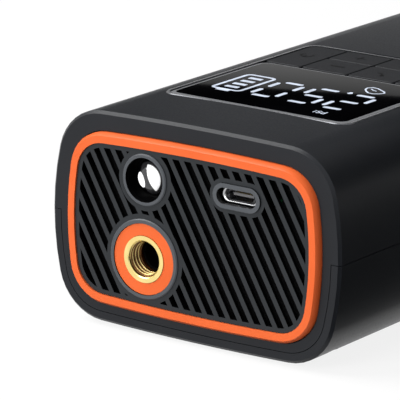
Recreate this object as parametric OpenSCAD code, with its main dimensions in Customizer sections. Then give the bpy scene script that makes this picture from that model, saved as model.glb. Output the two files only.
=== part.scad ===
// Jump starter pack with a built-in tyre inflator, as an assembly of its separate pieces.
// +X right, +Y from the front grille back to the jump socket, +Z up; the feet stand on Z = 0.
// Depths are measured back from the face of the orange ring, heights from the parting line.

/* [Body] */
// Overall length, from the ring's face to the rear face
overall_len = 200; // [180:1:230]
// Greatest width, at the parting line
body_w = 93.4; // [91:0.1:97]
// Greatest height of the section, without the feet
body_h = 59.4; // [58:0.1:63]
// Radius of the bowed sides
side_r = 78; // [65:1:120]
// Radius of the slightly crowned top and bottom
crown_r = 970; // [600:10:1200]
// Radius of the four long corners
corner_r = 15; // [13:0.5:16]
// Wall of both shells
wall = 2.8; // [2.2:0.1:3.2]
// Bevel of the front edge
front_bevel = 0.8; // [0.5:0.1:1.2]
// Rounding of the rear edge
rear_edge_r = 2.5; // [1:0.1:2.8]
// Open seam between the two shells
shell_gap = 0.18; // [0.1:0.01:0.3]
// Height of the lip inside the seam
lip_h = 1.6; // [1:0.1:2.5]
// Thickness of the lip
lip_t = 1.2; // [0.8:0.1:1.5]
// Play between pieces that are fitted together and stay put
fit = 0.1; // [0.05:0.01:0.15]
// Radial play of a shaft in its bearing
run_fit = 0.05; // [0.03:0.01:0.08]

/* [Front ring] */
// Width of bezel and ring together, left and right of the opening
bezel_side = 8.6; // [8:0.1:9.2]
// Width of bezel and ring together, above and below the opening
bezel_top = 8.1; // [7.6:0.05:8.8]
// Radius of the ring opening's bowed sides
ring_side_r = 87; // [70:1:150]
// Radius of the ring opening's top and bottom
ring_crown_r = 700; // [450:10:900]
// Corner radius of the ring opening
ring_corner_r = 8.8; // [7:0.1:10]
// Width of the ring's band
ring_band = 2.75; // [2.2:0.05:3]
// Width of the bevel on the ring's outer edge
ring_bevel = 0.75; // [0.4:0.05:1]
// Depth of that bevel
ring_bevel_d = 0.95; // [0.5:0.05:1.4]
// How far the ring stands in front of the bezel
ring_proud = 1.8; // [1:0.1:2.2]
// Dark gap between the ring and the bezel
ring_gap = 0.3; // [0.2:0.05:0.4]

/* [Grille] */
// How far the grille's face lies behind the ring's face
grille_set_back = 0.5; // [0.3:0.05:0.8]
// Distance between slots, square to them
slot_pitch = 3.3; // [3:0.05:3.8]
// How far the row of slots is moved to the left
slot_shift = 0.85; // [0:0.05:1.5]
// Width of a slot
slot_w = 1.9; // [1.4:0.05:2.1]
// Slant of the slots from the horizontal
slot_angle = 60; // [50:1:70]
// Thickness of the slats
slat_t = 1.1; // [0.8:0.05:2]
// Solid margin between the ring and the slots
grille_margin = 1.35; // [1:0.05:1.8]
// How far the grille's flange laps behind the bezel
flange_lap = 2; // [1.5:0.1:2.2]
// Thickness of that flange
flange_t = 2; // [1.5:0.1:2.5]

/* [Torch] */
// Place of torch and outlet left of the middle, as a share of the opening's width
left_share = 0.194; // [0.189:0.001:0.197]
// Place of the torch above the parting line, as a share of the opening's height
torch_share = 0.303; // [0.298:0.001:0.306]
// Radius of the torch opening, as a share of the ring opening's height
torch_r_share = 0.141; // [0.13:0.001:0.143]
// Width of the raised rim round it
torch_rim = 1.05; // [0.7:0.05:1.2]
// Solid land between that rim and the slots
torch_land = 1.4; // [1:0.1:1.6]
// Depth of the torch barrel
torch_depth = 22; // [19:0.5:24]
// Dark gap round the lens dome
lens_gap = 0.8; // [0.6:0.1:1]
// Depth of the lens seat behind the ring's face
lens_seat = 5.2; // [4.8:0.1:5.5]

/* [Air outlet] */
// Place of the outlet below the parting line, as a share of the opening's height
outlet_share = 0.202; // [0.198:0.001:0.205]
// Radius of the orange disc, as a share of the opening's height
disc_share = 0.226; // [0.218:0.001:0.228]
// Thickness of the disc
disc_t = 1.5; // [1:0.1:2]
// How far the disc lies behind the rim
disc_set_back = 0.3; // [0.2:0.05:0.6]
// Width of the raised rim round the disc
outlet_rim = 1.2; // [1:0.1:1.5]
// Solid land between that rim and the slots
outlet_land = 1.3; // [1:0.1:1.4]
// Outer radius of the brass insert
insert_r = 6.45; // [6:0.05:6.8]
// Wall radius of the threaded bore, its major radius
thread_r = 5; // [4.6:0.05:5.2]
// Length of the bore, seal included
thread_len = 12; // [10:0.5:13]
// Length of the open thread in front of the seal
open_thread = 6.1; // [5:0.1:7]
// Height of the ledge where the thread ends and the seal's pocket begins
seal_ledge = 0.4; // [0.3:0.05:0.6]
// How far the seal lies behind the ledge
seal_set_back = 0.2; // [0.1:0.05:0.3]
// Length of the brass insert
insert_len = 20; // [18:0.5:21]

/* [USB-C port] */
// Place of the port right of the middle, as a share of the opening's width
usb_x_share = 0.197; // [0.185:0.001:0.21]
// Place of the port above the parting line, as a share of the opening's height
usb_z_share = 0.3055; // [0.297:0.0005:0.31]
// Width of the opening in the grille
usb_open_w = 12.6; // [11.5:0.1:13]
// Height of that opening
usb_open_h = 4.4; // [4.2:0.1:4.8]
// Width of the raised rim round it
usb_rim = 1.2; // [0.8:0.05:1.3]
// Solid land between that rim and the slots
usb_land = 1.2; // [0.9:0.1:1.4]
// Outer width of the steel receptacle
usb_c_w = 8.94; // [8.8:0.01:9.1]
// Outer height of the steel receptacle
usb_c_h = 3.26; // [3.2:0.01:3.4]
// Depth of its mouth behind the ring's face
usb_c_front = 2.3; // [2:0.1:3]
// Length of the receptacle
usb_c_len = 8; // [7:0.1:9]

/* [Top panel] */
// Depth of the trim's front edge
panel_front = 28; // [27:0.1:29]
// Length of the trim
trim_len = 73.9; // [73.4:0.1:75]
// Width of the shell's top beside the trim
panel_side = 16.4; // [16:0.1:16.9]
// Width of the trim's band
trim_band = 1; // [0.8:0.05:1.2]
// Corner radius of the trim
trim_r = 4.4; // [3.6:0.1:5]
// How far the trim stands above the crown; below it when negative
trim_proud = -0.2; // [-0.3:0.05:0.3]
// Bevel of the trim, the glass and the keys
trim_bevel = 0.3; // [0.2:0.05:0.4]
// Depth of the pocket that holds the trim, below the crown
pocket_d = 2.2; // [2.1:0.05:2.3]
// Length of the display glass
glass_len = 46.8; // [46:0.1:47.4]
// Bevel across the glass's edge
glass_bevel = 1.4; // [0.8:0.1:2]
// Depth of the near row of keys
near_row = 13; // [12:0.1:13.4]
// Width of the tall key on the left, as a share of the panel
tall_share = 0.198; // [0.19:0.001:0.21]
// Width of each of the four middle keys, as a share of the panel
mid_share = 0.254; // [0.248:0.001:0.26]
// Open gap round each key
key_gap = 0.5; // [0.4:0.05:0.6]
// Travel of a key
key_travel = 0.6; // [0.4:0.05:0.65]
// Thickness of a key's cap
cap_t = 1.1; // [1:0.05:1.2]
// Width of the square stem under a cap
stem_w = 6; // [4:0.5:7]

/* [Boards] */
// Thickness of every circuit board
pcb_t = 1.6; // [1:0.1:1.8]
// Height of the panel board's top, below the crown
panel_board_drop = 7.5; // [7.2:0.1:7.8]
// Space between the main board and the crown
board_space = 15.45; // [15:0.05:15.8]

/* [Battery] */
// Space between the cells and the body's widest part, on each side
cell_side = 12.5; // [12.2:0.1:14.5]
// Height of the ribs under the cradle
rib_h = 2.25; // [2:0.05:3]
// Space behind the cradle for the copper straps
strap_space = 2.6; // [2.4:0.1:4]
// Number of cells
cell_count = 4; // [2:1:4]
// Wall of the battery cradle
cradle_t = 1.4; // [1:0.1:1.5]
// Distance from the compressor's frame back to the cradle
cradle_space = 46; // [45.5:0.5:47]

/* [Compressor] */
// Place of the crank right of the middle, as a share of the body's width
crank_share = 0.075; // [0.07:0.001:0.08]
// Place of crank and motor below the parting line, as a share of the body's height
pump_share = 0.151; // [0.145:0.001:0.152]
// Depth of the front face of the compressor's frame
frame_d = 58; // [57:0.5:59]
// Thickness of the compressor's frame
frame_t = 4; // [3.5:0.1:4]
// Distance between motor and crank, as a share of the body's width
span_share = 0.216; // [0.21:0.001:0.218]
// Teeth of the crank gear
gear_teeth = 40; // [40:4:40]
// Teeth of the motor pinion
pinion_teeth = 10; // [10:1:10]
// Thickness of the crank gear
gear_t = 5; // [4:0.1:5.5]
// Crank throw, half of the piston's stroke
throw = 3; // [2.5:0.1:3]
// Length of the connecting rod between centres, as a share of the body's width
rod_share = 0.2366; // [0.232:0.001:0.24]
// Thickness of the connecting rod
rod_t = 4; // [3:0.1:4.2]
// Radius of the cylinder's bore
bore_r = 9; // [8.8:0.1:9.2]
// Wall of the cylinder
cyl_wall = 2; // [1.6:0.1:2]
// Height of the cooling fins
fin_h = 2; // [1.5:0.1:2]
// Radius of the motor, as a share of the body's width
motor_share = 0.148; // [0.135:0.001:0.15]
// Length of the motor's can
motor_len = 38; // [34:0.5:38]
// Radius of the motor shaft
shaft_r = 1.5; // [1.2:0.1:1.6]
// Outer radius of the air hose
hose_r = 3.2; // [2.8:0.1:3.3]
// Bore radius of the air hose
hose_bore_r = 2; // [1.6:0.1:2.1]

/* [Rear ports] */
// Width of the rear face beside the port recess
bay_side = 14.7; // [13.7:0.1:15.7]
// Height of the rear face above and below the recess
bay_top = 15.7; // [15.25:0.05:16.65]
// Depth of that recess
bay_d = 10; // [9.5:0.1:10.5]
// Wall of the recess
bay_wall = 2; // [1.8:0.1:2.2]
// Thickness of the port cover
cover_t = 2.6; // [2:0.1:2.7]
// Radius of the cover's hinge pin
pin_r = 1; // [0.8:0.05:1.1]
// Distance of the jump socket left of the middle
jump_x = 11; // [10:0.1:12]
// Width of the jump socket's block
jump_w = 26; // [25:0.1:27]
// Height of the jump socket's block
jump_h = 15; // [14:0.1:16]
// Distance between the two contacts
contact_pitch = 12; // [11:0.1:12.5]
// Bore radius of a contact
contact_r = 2.5; // [2.2:0.05:2.6]
// Distance of the USB-A port right of the middle
usb_a_x = 17; // [16:0.1:18]

/* [Feet and screws] */
// Radius of a rubber foot
foot_r = 6; // [5:0.1:6.5]
// How far the feet stand below the bottom
foot_stand = 0.8; // [0.5:0.1:1.5]
// Distance of the feet from the body's widest part
foot_side = 20.5; // [18.5:0.5:22.5]
// Distance of the feet from each end
foot_inset = 27; // [25:0.5:32]
// Distance of the case screws from the body's widest part
screw_side = 10.5; // [10.3:0.1:11]
// Distance of the case screws from each end
screw_inset = 12.5; // [12:0.1:13.5]
// Radius of a case screw's shank
screw_r = 1.4; // [1.2:0.05:1.5]

/* [Hidden] */
$fn = 48;

// Colours
dark = [0.16, 0.165, 0.175];
dark_grille = [0.2, 0.205, 0.215];
black = [0.03, 0.03, 0.035];
orange = [0.95, 0.36, 0.13];
brass = [0.86, 0.7, 0.35];
steel = [0.72, 0.73, 0.75];
alloy = [0.62, 0.64, 0.66];
rubber = [0.07, 0.07, 0.075];
board_green = [0.06, 0.3, 0.16];
copper = [0.8, 0.45, 0.28];

// Sizes that follow from the body and from the ring's opening
ring_in_w = body_w - 2 * bezel_side;
ring_in_h = body_h - 2 * bezel_top;
left_col_x = round(100 * left_share * ring_in_w) / 100;
torch_z = torch_share * ring_in_h;
torch_r = torch_r_share * ring_in_h;
lens_r = torch_r - lens_gap;
outlet_drop = outlet_share * ring_in_h;
disc_r = disc_share * ring_in_h;
usb_x = usb_x_share * ring_in_w;
usb_z = usb_z_share * ring_in_h;
trim_w = body_w - 2 * panel_side;
panel_in_w = trim_w - 2 * trim_band;
tall_left_w = tall_share * panel_in_w;
mid_key_w = mid_share * panel_in_w;
crank_x = crank_share * body_w;
pump_drop = pump_share * body_h;
gear_span = span_share * body_w;
rod_len = rod_share * body_w;
motor_r = motor_share * body_w;
bay_w = body_w - 2 * bay_side;
bay_h = body_h - 2 * bay_top;
foot_x = body_w / 2 - foot_side;
screw_x = body_w / 2 - screw_side;

// Section of the body and of the ring's opening: half width, half height and three radii
body_s = [body_w / 2, body_h / 2, side_r, crown_r, corner_r];
ring_s = [ring_in_w / 2, ring_in_h / 2, ring_side_r, ring_crown_r, ring_corner_r];

// Depths at the two ends
bezel_d = ring_proud;
front_in = bezel_d + wall;
rear_in = overall_len - wall;
ring_back = front_in;
flange_back = ring_back + flange_t;

// Segments in each stretch of a section
side_steps = 6;
corner_steps = 8;
crown_steps = 8;
eps = 0.01;
far = 300;

// ---- Curves and solids shared by the pieces ----

function arc_pts(c, r, a0, a1, n) =
    [for (i = [0 : n - 1]) let (t = a0 + (a1 - a0) * i / n) [c[0] + r * cos(t), c[1] + r * sin(t)]];

// Centre of the corner arc that runs smoothly into the side arc and the crown arc
function corner_centre(s) =
    let (x1 = s[0] - s[2], z2 = s[1] - s[3], r1 = s[2] - s[4], r2 = s[3] - s[4],
         d = norm([x1, z2]), k = (r1 * r1 - r2 * r2 + d * d) / (2 * d), h = sqrt(r1 * r1 - k * k))
    [x1 - k * x1 / d - h * z2 / d, k * z2 / d - h * x1 / d];

// Closed outline of four bowed sides with smooth corners, drawn in by off
function section(s, off) =
    let (c = corner_centre(s), x1 = s[0] - s[2], z2 = s[1] - s[3],
         t1 = atan2(c[1], c[0] - x1), t2 = atan2(c[1] - z2, c[0]),
         rs = s[2] - off, rt = s[3] - off, rc = s[4] - off)
    concat(
        arc_pts([x1, 0], rs, -t1, t1, side_steps),
        arc_pts(c, rc, t1, t2, corner_steps),
        arc_pts([0, z2], rt, t2, 180 - t2, crown_steps),
        arc_pts([-c[0], c[1]], rc, 180 - t2, 180 - t1, corner_steps),
        arc_pts([-x1, 0], rs, 180 - t1, 180 + t1, side_steps),
        arc_pts([-c[0], -c[1]], rc, 180 + t1, 180 + t2, corner_steps),
        arc_pts([0, -z2], rt, 180 + t2, 360 - t2, crown_steps),
        arc_pts([c[0], -c[1]], rc, 360 - t2, 360 - t1, corner_steps));

// Height of a section's crown above a point off the middle
function crown_z(s, off, x) = s[1] - s[3] + sqrt(pow(s[3] - off, 2) - x * x);

// Rectangle with round corners, centred
function round_rect(w, h, r, n = 6) =
    let (x = w / 2 - r, y = h / 2 - r)
    concat(arc_pts([x, y], r, 0, 90, n), [[x, y + r]], arc_pts([-x, y], r, 90, 180, n), [[-x - r, y]],
        arc_pts([-x, -y], r, 180, 270, n), [[-x, -y - r]], arc_pts([x, -y], r, 270, 360, n), [[x + r, -y]]);

// Rectangle with its own radius at each corner: back right, back left, front left, front right
function corner_rect(w, h, r, n = 6) =
    let (x = w / 2, y = h / 2)
    concat(arc_pts([x - r[0], y - r[0]], r[0], 0, 90, n), [[x - r[0], y]],
        arc_pts([-x + r[1], y - r[1]], r[1], 90, 180, n), [[-x, y - r[1]]],
        arc_pts([-x + r[2], -y + r[2]], r[2], 180, 270, n), [[-x + r[2], -y]],
        arc_pts([x - r[3], -y + r[3]], r[3], 270, 360, n), [[x, -y + r[3]]]);

// Solid through closed rings of equal count, stacked upwards
module loft(rings) {
    n = len(rings[0]);
    m = len(rings);
    sides = [for (j = [0 : m - 2]) for (i = [0 : n - 1])
        let (a = j * n + i, b = j * n + (i + 1) % n, c = b + n, d = a + n) each [[a, d, c], [a, c, b]]];
    polyhedron(points = [for (r = rings) each r],
        faces = concat([[for (i = [0 : n - 1]) i]], sides, [[for (i = [n - 1 : -1 : 0]) (m - 1) * n + i]]));
}

// Places a piece drawn with depths and heights from the parting line into the part's frame
module place() {
    translate([0, -overall_len / 2, body_h / 2 + foot_stand]) children();
}

// Extrudes an outline drawn in width and height from depth d0 to depth d1
module prism(d0, d1) {
    translate([0, d1, 0]) rotate([90, 0, 0]) linear_extrude(d1 - d0) children();
}

// Extrudes an outline drawn in width and depth from height z0 to height z1
module slab(z0, z1) {
    translate([0, 0, z0]) linear_extrude(z1 - z0) children();
}

// Round bar along the depth
module bar_y(x, z, r, d0, d1) {
    translate([x, d1, z]) rotate([90, 0, 0]) cylinder(r = r, h = d1 - d0);
}

// Round bar along the width
module bar_x(d, z, r, x0, x1) {
    translate([x0, d, z]) rotate([0, 90, 0]) cylinder(r = r, h = x1 - x0);
}

// Upright round bar
module bar_z(x, d, r, z0, z1) {
    translate([x, d, z0]) cylinder(r = r, h = z1 - z0);
}

// Box between two corners
module block(lo, hi) {
    translate(lo) cube(hi - lo);
}

// Outline with half-round ends, centred
module stadium(w, h) {
    polygon(round_rect(w, h, h / 2 - eps, 8));
}

// ---- Housing ----

// Outer form of both shells together, with its rounded ends
module body_form() {
    steps = 4;
    rear = [for (k = [0 : steps]) let (t = 90 * k / steps)
        [overall_len - rear_edge_r * (1 - cos(t)), rear_edge_r * (1 - sin(t))]];
    front = [[bezel_d + front_bevel, 0], [bezel_d, front_bevel]];
    rotate([90, 0, 0])
        loft([for (st = concat(rear, front)) [for (p = section(body_s, st[1])) [p[0], p[1], -st[0]]]]);
}

// Band of the wall between two offsets, kept between two heights
module wall_band(off0, off1, z0, z1) {
    intersection() {
        difference() {
            polygon(section(body_s, off0));
            polygon(section(body_s, off1));
        }
        translate([-body_w, z0]) square([2 * body_w, z1 - z0]);
    }
}

// Case screws: one near each corner, driven from below
screw_at = [for (sx = [-1, 1]) for (d = [screw_inset, overall_len - screw_inset - 5.5]) [sx * screw_x, d]];
boss_r = 3.5;
boss_split = -12;
screw_head_r = 2.6;
screw_head_z = -body_h / 2 + 5.55;
screw_len = 20;
screw_play = 0.12;

// Panel: pocket for the trim, windows for display and keys
crown = body_h / 2;
ledge_z = crown - pocket_d;
trim_top = crown + trim_proud;
panel_mid = panel_front + trim_len / 2;
glass_front = panel_front + trim_band + fit;
glass_back = glass_front + glass_len;
keys_front = glass_back + key_gap;
keys_back = panel_front + trim_len - trim_band - key_gap;
window_lip = 2.6;
display_window = [[-panel_in_w / 2 + window_lip, glass_front + window_lip],
    [panel_in_w / 2 - window_lip, glass_back - window_lip]];
key_window = [[-panel_in_w / 2 + window_lip / 2, keys_front + window_lip / 2],
    [panel_in_w / 2 - window_lip / 2, keys_back - window_lip / 2]];
panel_board_z = crown - panel_board_drop;
board_w = trim_w + 4;
board_front = panel_front + 3;
board_back = panel_front + trim_len - 3;
post_at = [for (sx = [-1, 1]) for (d = [board_front + 3.5, board_back - 3.5]) [sx * (board_w / 2 - 3), d]];
post_r = 2.4;

// Rear port recess
bay_floor = overall_len - bay_d;
board_back_d = bay_floor - bay_wall - 15.4;
bay_out_w = bay_w + 2 * bay_wall;
bay_out_h = bay_h + 2 * bay_wall;
bay_r = 4;

module screw_bores(r, z0, z1) {
    for (p = screw_at) bar_z(p[0], p[1], r, z0, z1);
}

// Top half with the whole front plate and rear plate
module upper_shell() {
    color(dark) place() difference() {
        union() {
            difference() {
                body_form();
                prism(front_in, rear_in) polygon(section(body_s, wall));
                // below the parting line only the end plates remain, inside the lower shell
                prism(-1, overall_len + 1) difference() {
                    translate([-body_w, -body_h]) square([2 * body_w, body_h]);
                    polygon(section(body_s, wall + shell_gap));
                }
            }
            prism(front_in - eps, rear_in + eps) wall_band(wall - lip_t, wall + eps, -lip_h, eps);
            // bosses that take the case screws, run up into the wall
            intersection() {
                screw_bores(boss_r, boss_split, crown);
                prism(0, overall_len) polygon(section(body_s, wall / 2));
            }
            intersection() {
                for (p = post_at) bar_z(p[0], p[1], post_r, panel_board_z, crown);
                prism(0, overall_len) polygon(section(body_s, wall / 2));
            }
        }
        screw_bores(screw_r + screw_play, boss_split - 1, screw_head_z + screw_len + 1);
        // opening for ring and grille
        prism(0, front_in + 1) polygon(section(ring_s, -(ring_band + ring_gap)));
        // pocket and windows of the top panel
        translate([0, panel_mid, 0]) slab(ledge_z, crown + 5)
            polygon(round_rect(trim_w + 2 * fit, trim_len + 2 * fit, trim_r + fit));
        for (w = [display_window, key_window])
            block([w[0][0], w[0][1], ledge_z - 8], [w[1][0], w[1][1], crown + 5]);
        // opening for the rear port recess
        prism(rear_in - 1, overall_len + 1)
            polygon(round_rect(bay_out_w + 2 * fit, bay_out_h + 2 * fit, bay_r + bay_wall + fit));
    }
}

foot_at = [for (sx = [-1, 1]) for (d = [foot_inset, overall_len - foot_inset]) [sx * foot_x, d]];
foot_pocket_z = -crown_z(body_s, 0, foot_x) + 1;
rib_top = -crown + wall + rib_h;
cradle_front = frame_d + cradle_space;
cradle_back = board_back_d - strap_space;
cell_l = cradle_back - cradle_front - 2 * cradle_t - 2 * fit;
cell_w = body_w - 2 * cell_side;
main_board_z = crown - board_space;
rib_at = [cradle_front + 8, (cradle_front + cradle_back) / 2, cradle_back - 8];
pad_top = -crown + wall + 2.45;
pad_h = 1.4;
pad_x = [crank_x - 11, crank_x + gear_span];
pad_w = 7;
pad_d = 6;

// Lower half: an open trough with bosses, ribs and foot pockets
module lower_shell() {
    color(dark) place() difference() {
        union() {
            difference() {
                body_form();
                prism(-1, overall_len + 1) polygon(section(body_s, wall));
                prism(-1, overall_len + 1)
                    translate([-body_w, -shell_gap]) square([2 * body_w, body_h]);
                // rebate that the upper shell's lip drops into
                prism(front_in - shell_gap, rear_in + shell_gap)
                    wall_band(wall - lip_t - shell_gap, wall + 1, -lip_h - shell_gap, 1);
            }
            intersection() {
                union() {
                    screw_bores(boss_r, -body_h, boss_split - shell_gap);
                    // ribs under the battery cradle
                    for (d = rib_at) block([-cell_w / 2 + 4, d - 1.5, -body_h], [cell_w / 2 - 4, d + 1.5, rib_top]);
                    // seats of the compressor's rubber pads
                    for (x = pad_x)
                        block([x - pad_w / 2, frame_d + frame_t / 2 - pad_d / 2, -body_h],
                            [x + pad_w / 2, frame_d + frame_t / 2 + pad_d / 2, pad_top - pad_h]);
                }
                prism(0, overall_len) polygon(section(body_s, wall / 2));
            }
        }
        screw_bores(screw_r + screw_play, -body_h, boss_split + 1);
        screw_bores(screw_head_r + screw_play, -body_h, screw_head_z);
        for (p = foot_at) bar_z(p[0], p[1], foot_r + fit, -body_h, foot_pocket_z);
    }
}

// Four countersunk cross-head screws
module case_screws() {
    color(steel) place() for (p = screw_at) translate([p[0], p[1], screw_head_z]) difference() {
        union() {
            translate([0, 0, -1.8]) cylinder(r = screw_head_r, h = 1.8);
            cylinder(r = screw_r, h = screw_len);
        }
        for (a = [0, 90]) rotate(a) translate([-1.6, -0.35, -2]) cube([3.2, 0.7, 1.1]);
    }
}

// Four rubber feet in pockets of the bottom
module rubber_feet() {
    foot_low = -crown - foot_stand;
    color(rubber) place() for (p = foot_at) translate([p[0], p[1], foot_low]) {
        cylinder(r1 = foot_r - 0.5, r2 = foot_r, h = 0.5);
        translate([0, 0, 0.5]) cylinder(r = foot_r, h = foot_pocket_z - foot_low - 0.5);
    }
}

// ---- Front: ring, grille, torch, outlet, USB-C ----

// Orange ring with a bevelled outer edge
module accent_ring() {
    outer = [[ring_back, -ring_band], [ring_bevel_d, -ring_band], [0, -ring_band + ring_bevel]];
    color(orange) place() difference() {
        rotate([90, 0, 0])
            loft([for (st = outer) [for (p = section(ring_s, st[1])) [p[0], p[1], -st[0]]]]);
        prism(-1, ring_back + 1) polygon(section(ring_s, 0));
    }
}

grille_face = grille_set_back;
outlet_z = -outlet_drop;
disc_seat = disc_set_back + disc_t;
outlet_boss_back = 8;
usb_stack = usb_open_h + 2 * (usb_rim + usb_land);
relief = 0.25;
rim_bevel = 0.3;

// Solid lands round the torch, the outlet and the USB port, narrower by off
module lands(off = 0) {
    translate([-left_col_x, torch_z]) circle(r = torch_r + torch_rim + torch_land - off);
    translate([-left_col_x, outlet_z]) circle(r = disc_r + fit + outlet_rim + outlet_land - off);
    translate([usb_x, usb_z]) stadium(usb_open_w + 2 * (usb_rim + usb_land - off), usb_stack - 2 * off);
}

// Slanted slots across the grille
module slots() {
    pitch_x = slot_pitch / sin(slot_angle);
    reach = ceil((ring_s[0] + ring_s[1] / tan(slot_angle)) / pitch_x);
    intersection() {
        polygon(section(ring_s, grille_margin));
        for (k = [-reach : reach]) translate([k * pitch_x - slot_shift, 0]) rotate(-slot_angle)
            square([3 * ring_in_h, slot_w], center = true);
    }
}

// Raised collar round torch or outlet, with a bevelled front edge
module collar(z, r, back) {
    bar_y(-left_col_x, z, r, rim_bevel, back);
    translate([-left_col_x, rim_bevel, z]) rotate([90, 0, 0]) cylinder(r1 = r, r2 = r - rim_bevel, h = rim_bevel);
}

// Grille with slanted slats, raised rims and a flange behind the bezel
module grille_plate() {
    color(dark_grille) place() difference() {
        union() {
            prism(grille_face, ring_back + eps) polygon(section(ring_s, fit));
            prism(ring_back, flange_back) polygon(section(ring_s, -(ring_band + flange_lap)));
            collar(torch_z, torch_r + torch_rim, flange_back);
            collar(outlet_z, disc_r + fit + outlet_rim, outlet_boss_back);
            translate([usb_x, 0, usb_z]) prism(0, flange_back)
                stadium(usb_open_w + 2 * usb_rim, usb_open_h + 2 * usb_rim);
            // shelf under the USB board
            block([usb_x - 9, flange_back - eps, usb_board_z - 1.6 - fit],
                [usb_x + 9, flange_back + 14, usb_board_z - fit]);
        }
        // slots, and the space behind the slats
        prism(-1, flange_back + eps) difference() {
            slots();
            lands();
        }
        prism(grille_face + slat_t, flange_back + 1) difference() {
            polygon(section(ring_s, grille_margin - relief));
            lands(relief);
        }
        bar_y(-left_col_x, torch_z, torch_r, -1, flange_back + 1);
        bar_y(-left_col_x, torch_z, barrel_r + fit, barrel_front - fit, flange_back + 1);
        bar_y(-left_col_x, outlet_z, disc_r + fit, -1, disc_seat + fit);
        bar_y(-left_col_x, outlet_z, insert_r + fit, -1, outlet_boss_back + 1);
        translate([usb_x, 0, usb_z]) prism(-1, flange_back + 1) stadium(usb_open_w, usb_open_h);
    }
}

// Orange washer round the brass insert
module outlet_disc() {
    color(orange) place() difference() {
        bar_y(-left_col_x, outlet_z, disc_r, disc_set_back, disc_seat);
        bar_y(-left_col_x, outlet_z, insert_r + fit, -1, disc_seat + 1);
    }
}

insert_front = disc_set_back - 0.2;
insert_back = insert_front + insert_len;
port_d = insert_back - 4;
barb_len = 5;
barb_x = -left_col_x - insert_r;
pocket_r = thread_r - seal_ledge;

// Brass outlet: threaded bore in front, side port with a barb for the hose behind
module outlet_insert() {
    mouth = 0.25;
    color(brass) place() difference() {
        union() {
            bar_y(-left_col_x, outlet_z, insert_r, insert_front, insert_back);
            bar_x(port_d, outlet_z, hose_bore_r - run_fit, barb_x - barb_len, -left_col_x);
        }
        bar_y(-left_col_x, outlet_z, thread_r, insert_front - 1, insert_front + open_thread);
        bar_y(-left_col_x, outlet_z, pocket_r, insert_front + open_thread - 1, insert_front + thread_len);
        translate([-left_col_x, insert_front + mouth, outlet_z]) rotate([90, 0, 0])
            cylinder(r1 = thread_r, r2 = thread_r + mouth, h = mouth + eps);
        bar_y(-left_col_x, outlet_z, thread_r / 2, insert_front + thread_len - 1, port_d + 1.5);
        bar_x(port_d, outlet_z, hose_bore_r - 0.8, barb_x - barb_len - 1, -left_col_x);
    }
}

// Rubber cup at the bottom of the bore that the hose's nozzle is pressed against
module outlet_seal() {
    front = insert_front + open_thread + seal_set_back;
    back = insert_front + thread_len;
    color(rubber) place() difference() {
        bar_y(-left_col_x, outlet_z, pocket_r - fit / 2, front, back);
        bar_y(-left_col_x, outlet_z, pocket_r - 0.6, front - 1, back - 1.5);
        bar_y(-left_col_x, outlet_z, thread_r / 3, front, back + 1);
    }
}

nut_t = 2.6;
nut_r = 9.2;

// Hexagon nut that clamps the insert to the grille
module outlet_nut() {
    color(brass) place() difference() {
        translate([-left_col_x, outlet_boss_back + nut_t, outlet_z]) rotate([90, 0, 0])
            cylinder(r = nut_r, h = nut_t, $fn = 6);
        bar_y(-left_col_x, outlet_z, insert_r + fit / 2, outlet_boss_back - 1, outlet_boss_back + nut_t + 1);
    }
}

barrel_r = torch_r + 1.2;
barrel_front = 1.6;
barrel_back = barrel_front + torch_depth;
lens_flange_t = 1.2;
lens_rise = 0.89 * lens_r;

// Black barrel that holds lens, reflector and lamp
module torch_barrel() {
    color(black) place() difference() {
        bar_y(-left_col_x, torch_z, barrel_r, barrel_front, barrel_back);
        bar_y(-left_col_x, torch_z, torch_r, barrel_front - 1, lens_seat + lens_flange_t);
        bar_y(-left_col_x, torch_z, torch_r - 0.5, barrel_front, barrel_back + 1);
    }
}

// Clear domed lens with a seating flange
module torch_lens() {
    dome_r = (lens_r * lens_r + lens_rise * lens_rise) / (2 * lens_rise);
    half = asin(lens_r / dome_r);
    profile = concat([[0, 0]],
        [for (k = [0 : 10]) let (t = half * (1 - k / 10)) [dome_r * sin(t), lens_rise - dome_r + dome_r * cos(t)]]);
    color([0.85, 0.88, 0.92, 0.5]) place() {
        translate([-left_col_x, lens_seat, torch_z]) rotate([90, 0, 0]) rotate_extrude() polygon(profile);
        bar_y(-left_col_x, torch_z, torch_r - fit, lens_seat, lens_seat + lens_flange_t - fit);
    }
}

reflector_front = lens_seat + lens_flange_t;
lamp_d = barrel_back - 2.2;

// Chrome cone between lamp and lens
module torch_reflector() {
    wide = torch_r - 0.5 - fit;
    narrow = 2.6;
    t = 0.6;
    color(steel) place() translate([-left_col_x, lamp_d, torch_z]) rotate([90, 0, 0]) rotate_extrude()
        polygon([[narrow, 0], [wide, lamp_d - reflector_front - 1], [wide, lamp_d - reflector_front],
            [wide - t, lamp_d - reflector_front], [wide - t, lamp_d - reflector_front - 1], [narrow - t, 0]]);
}

// Lamp chip with its small dome
module torch_led() {
    color([0.95, 0.9, 0.6]) place() {
        block([-left_col_x - 1.7, lamp_d + 0.6, torch_z - 1.7], [-left_col_x + 1.7, barrel_back, torch_z + 1.7]);
        bar_y(-left_col_x, torch_z, 1.3, lamp_d, lamp_d + 0.7);
    }
}

// Round board behind the lamp
module torch_board() {
    color(board_green) place() bar_y(-left_col_x, torch_z, barrel_r, barrel_back, barrel_back + pcb_t);
}

usb_c_wall = 0.3;
usb_c_back = usb_c_front + usb_c_len;
usb_board_z = usb_z - usb_c_h / 2 - fit / 2;

// Steel sleeve of the USB-C receptacle
module usb_c_shell() {
    color(steel) place() translate([usb_x, 0, usb_z]) difference() {
        prism(usb_c_front, usb_c_back) stadium(usb_c_w, usb_c_h);
        prism(usb_c_front - 1, usb_c_back - usb_c_wall)
            stadium(usb_c_w - 2 * usb_c_wall, usb_c_h - 2 * usb_c_wall);
    }
}

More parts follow.
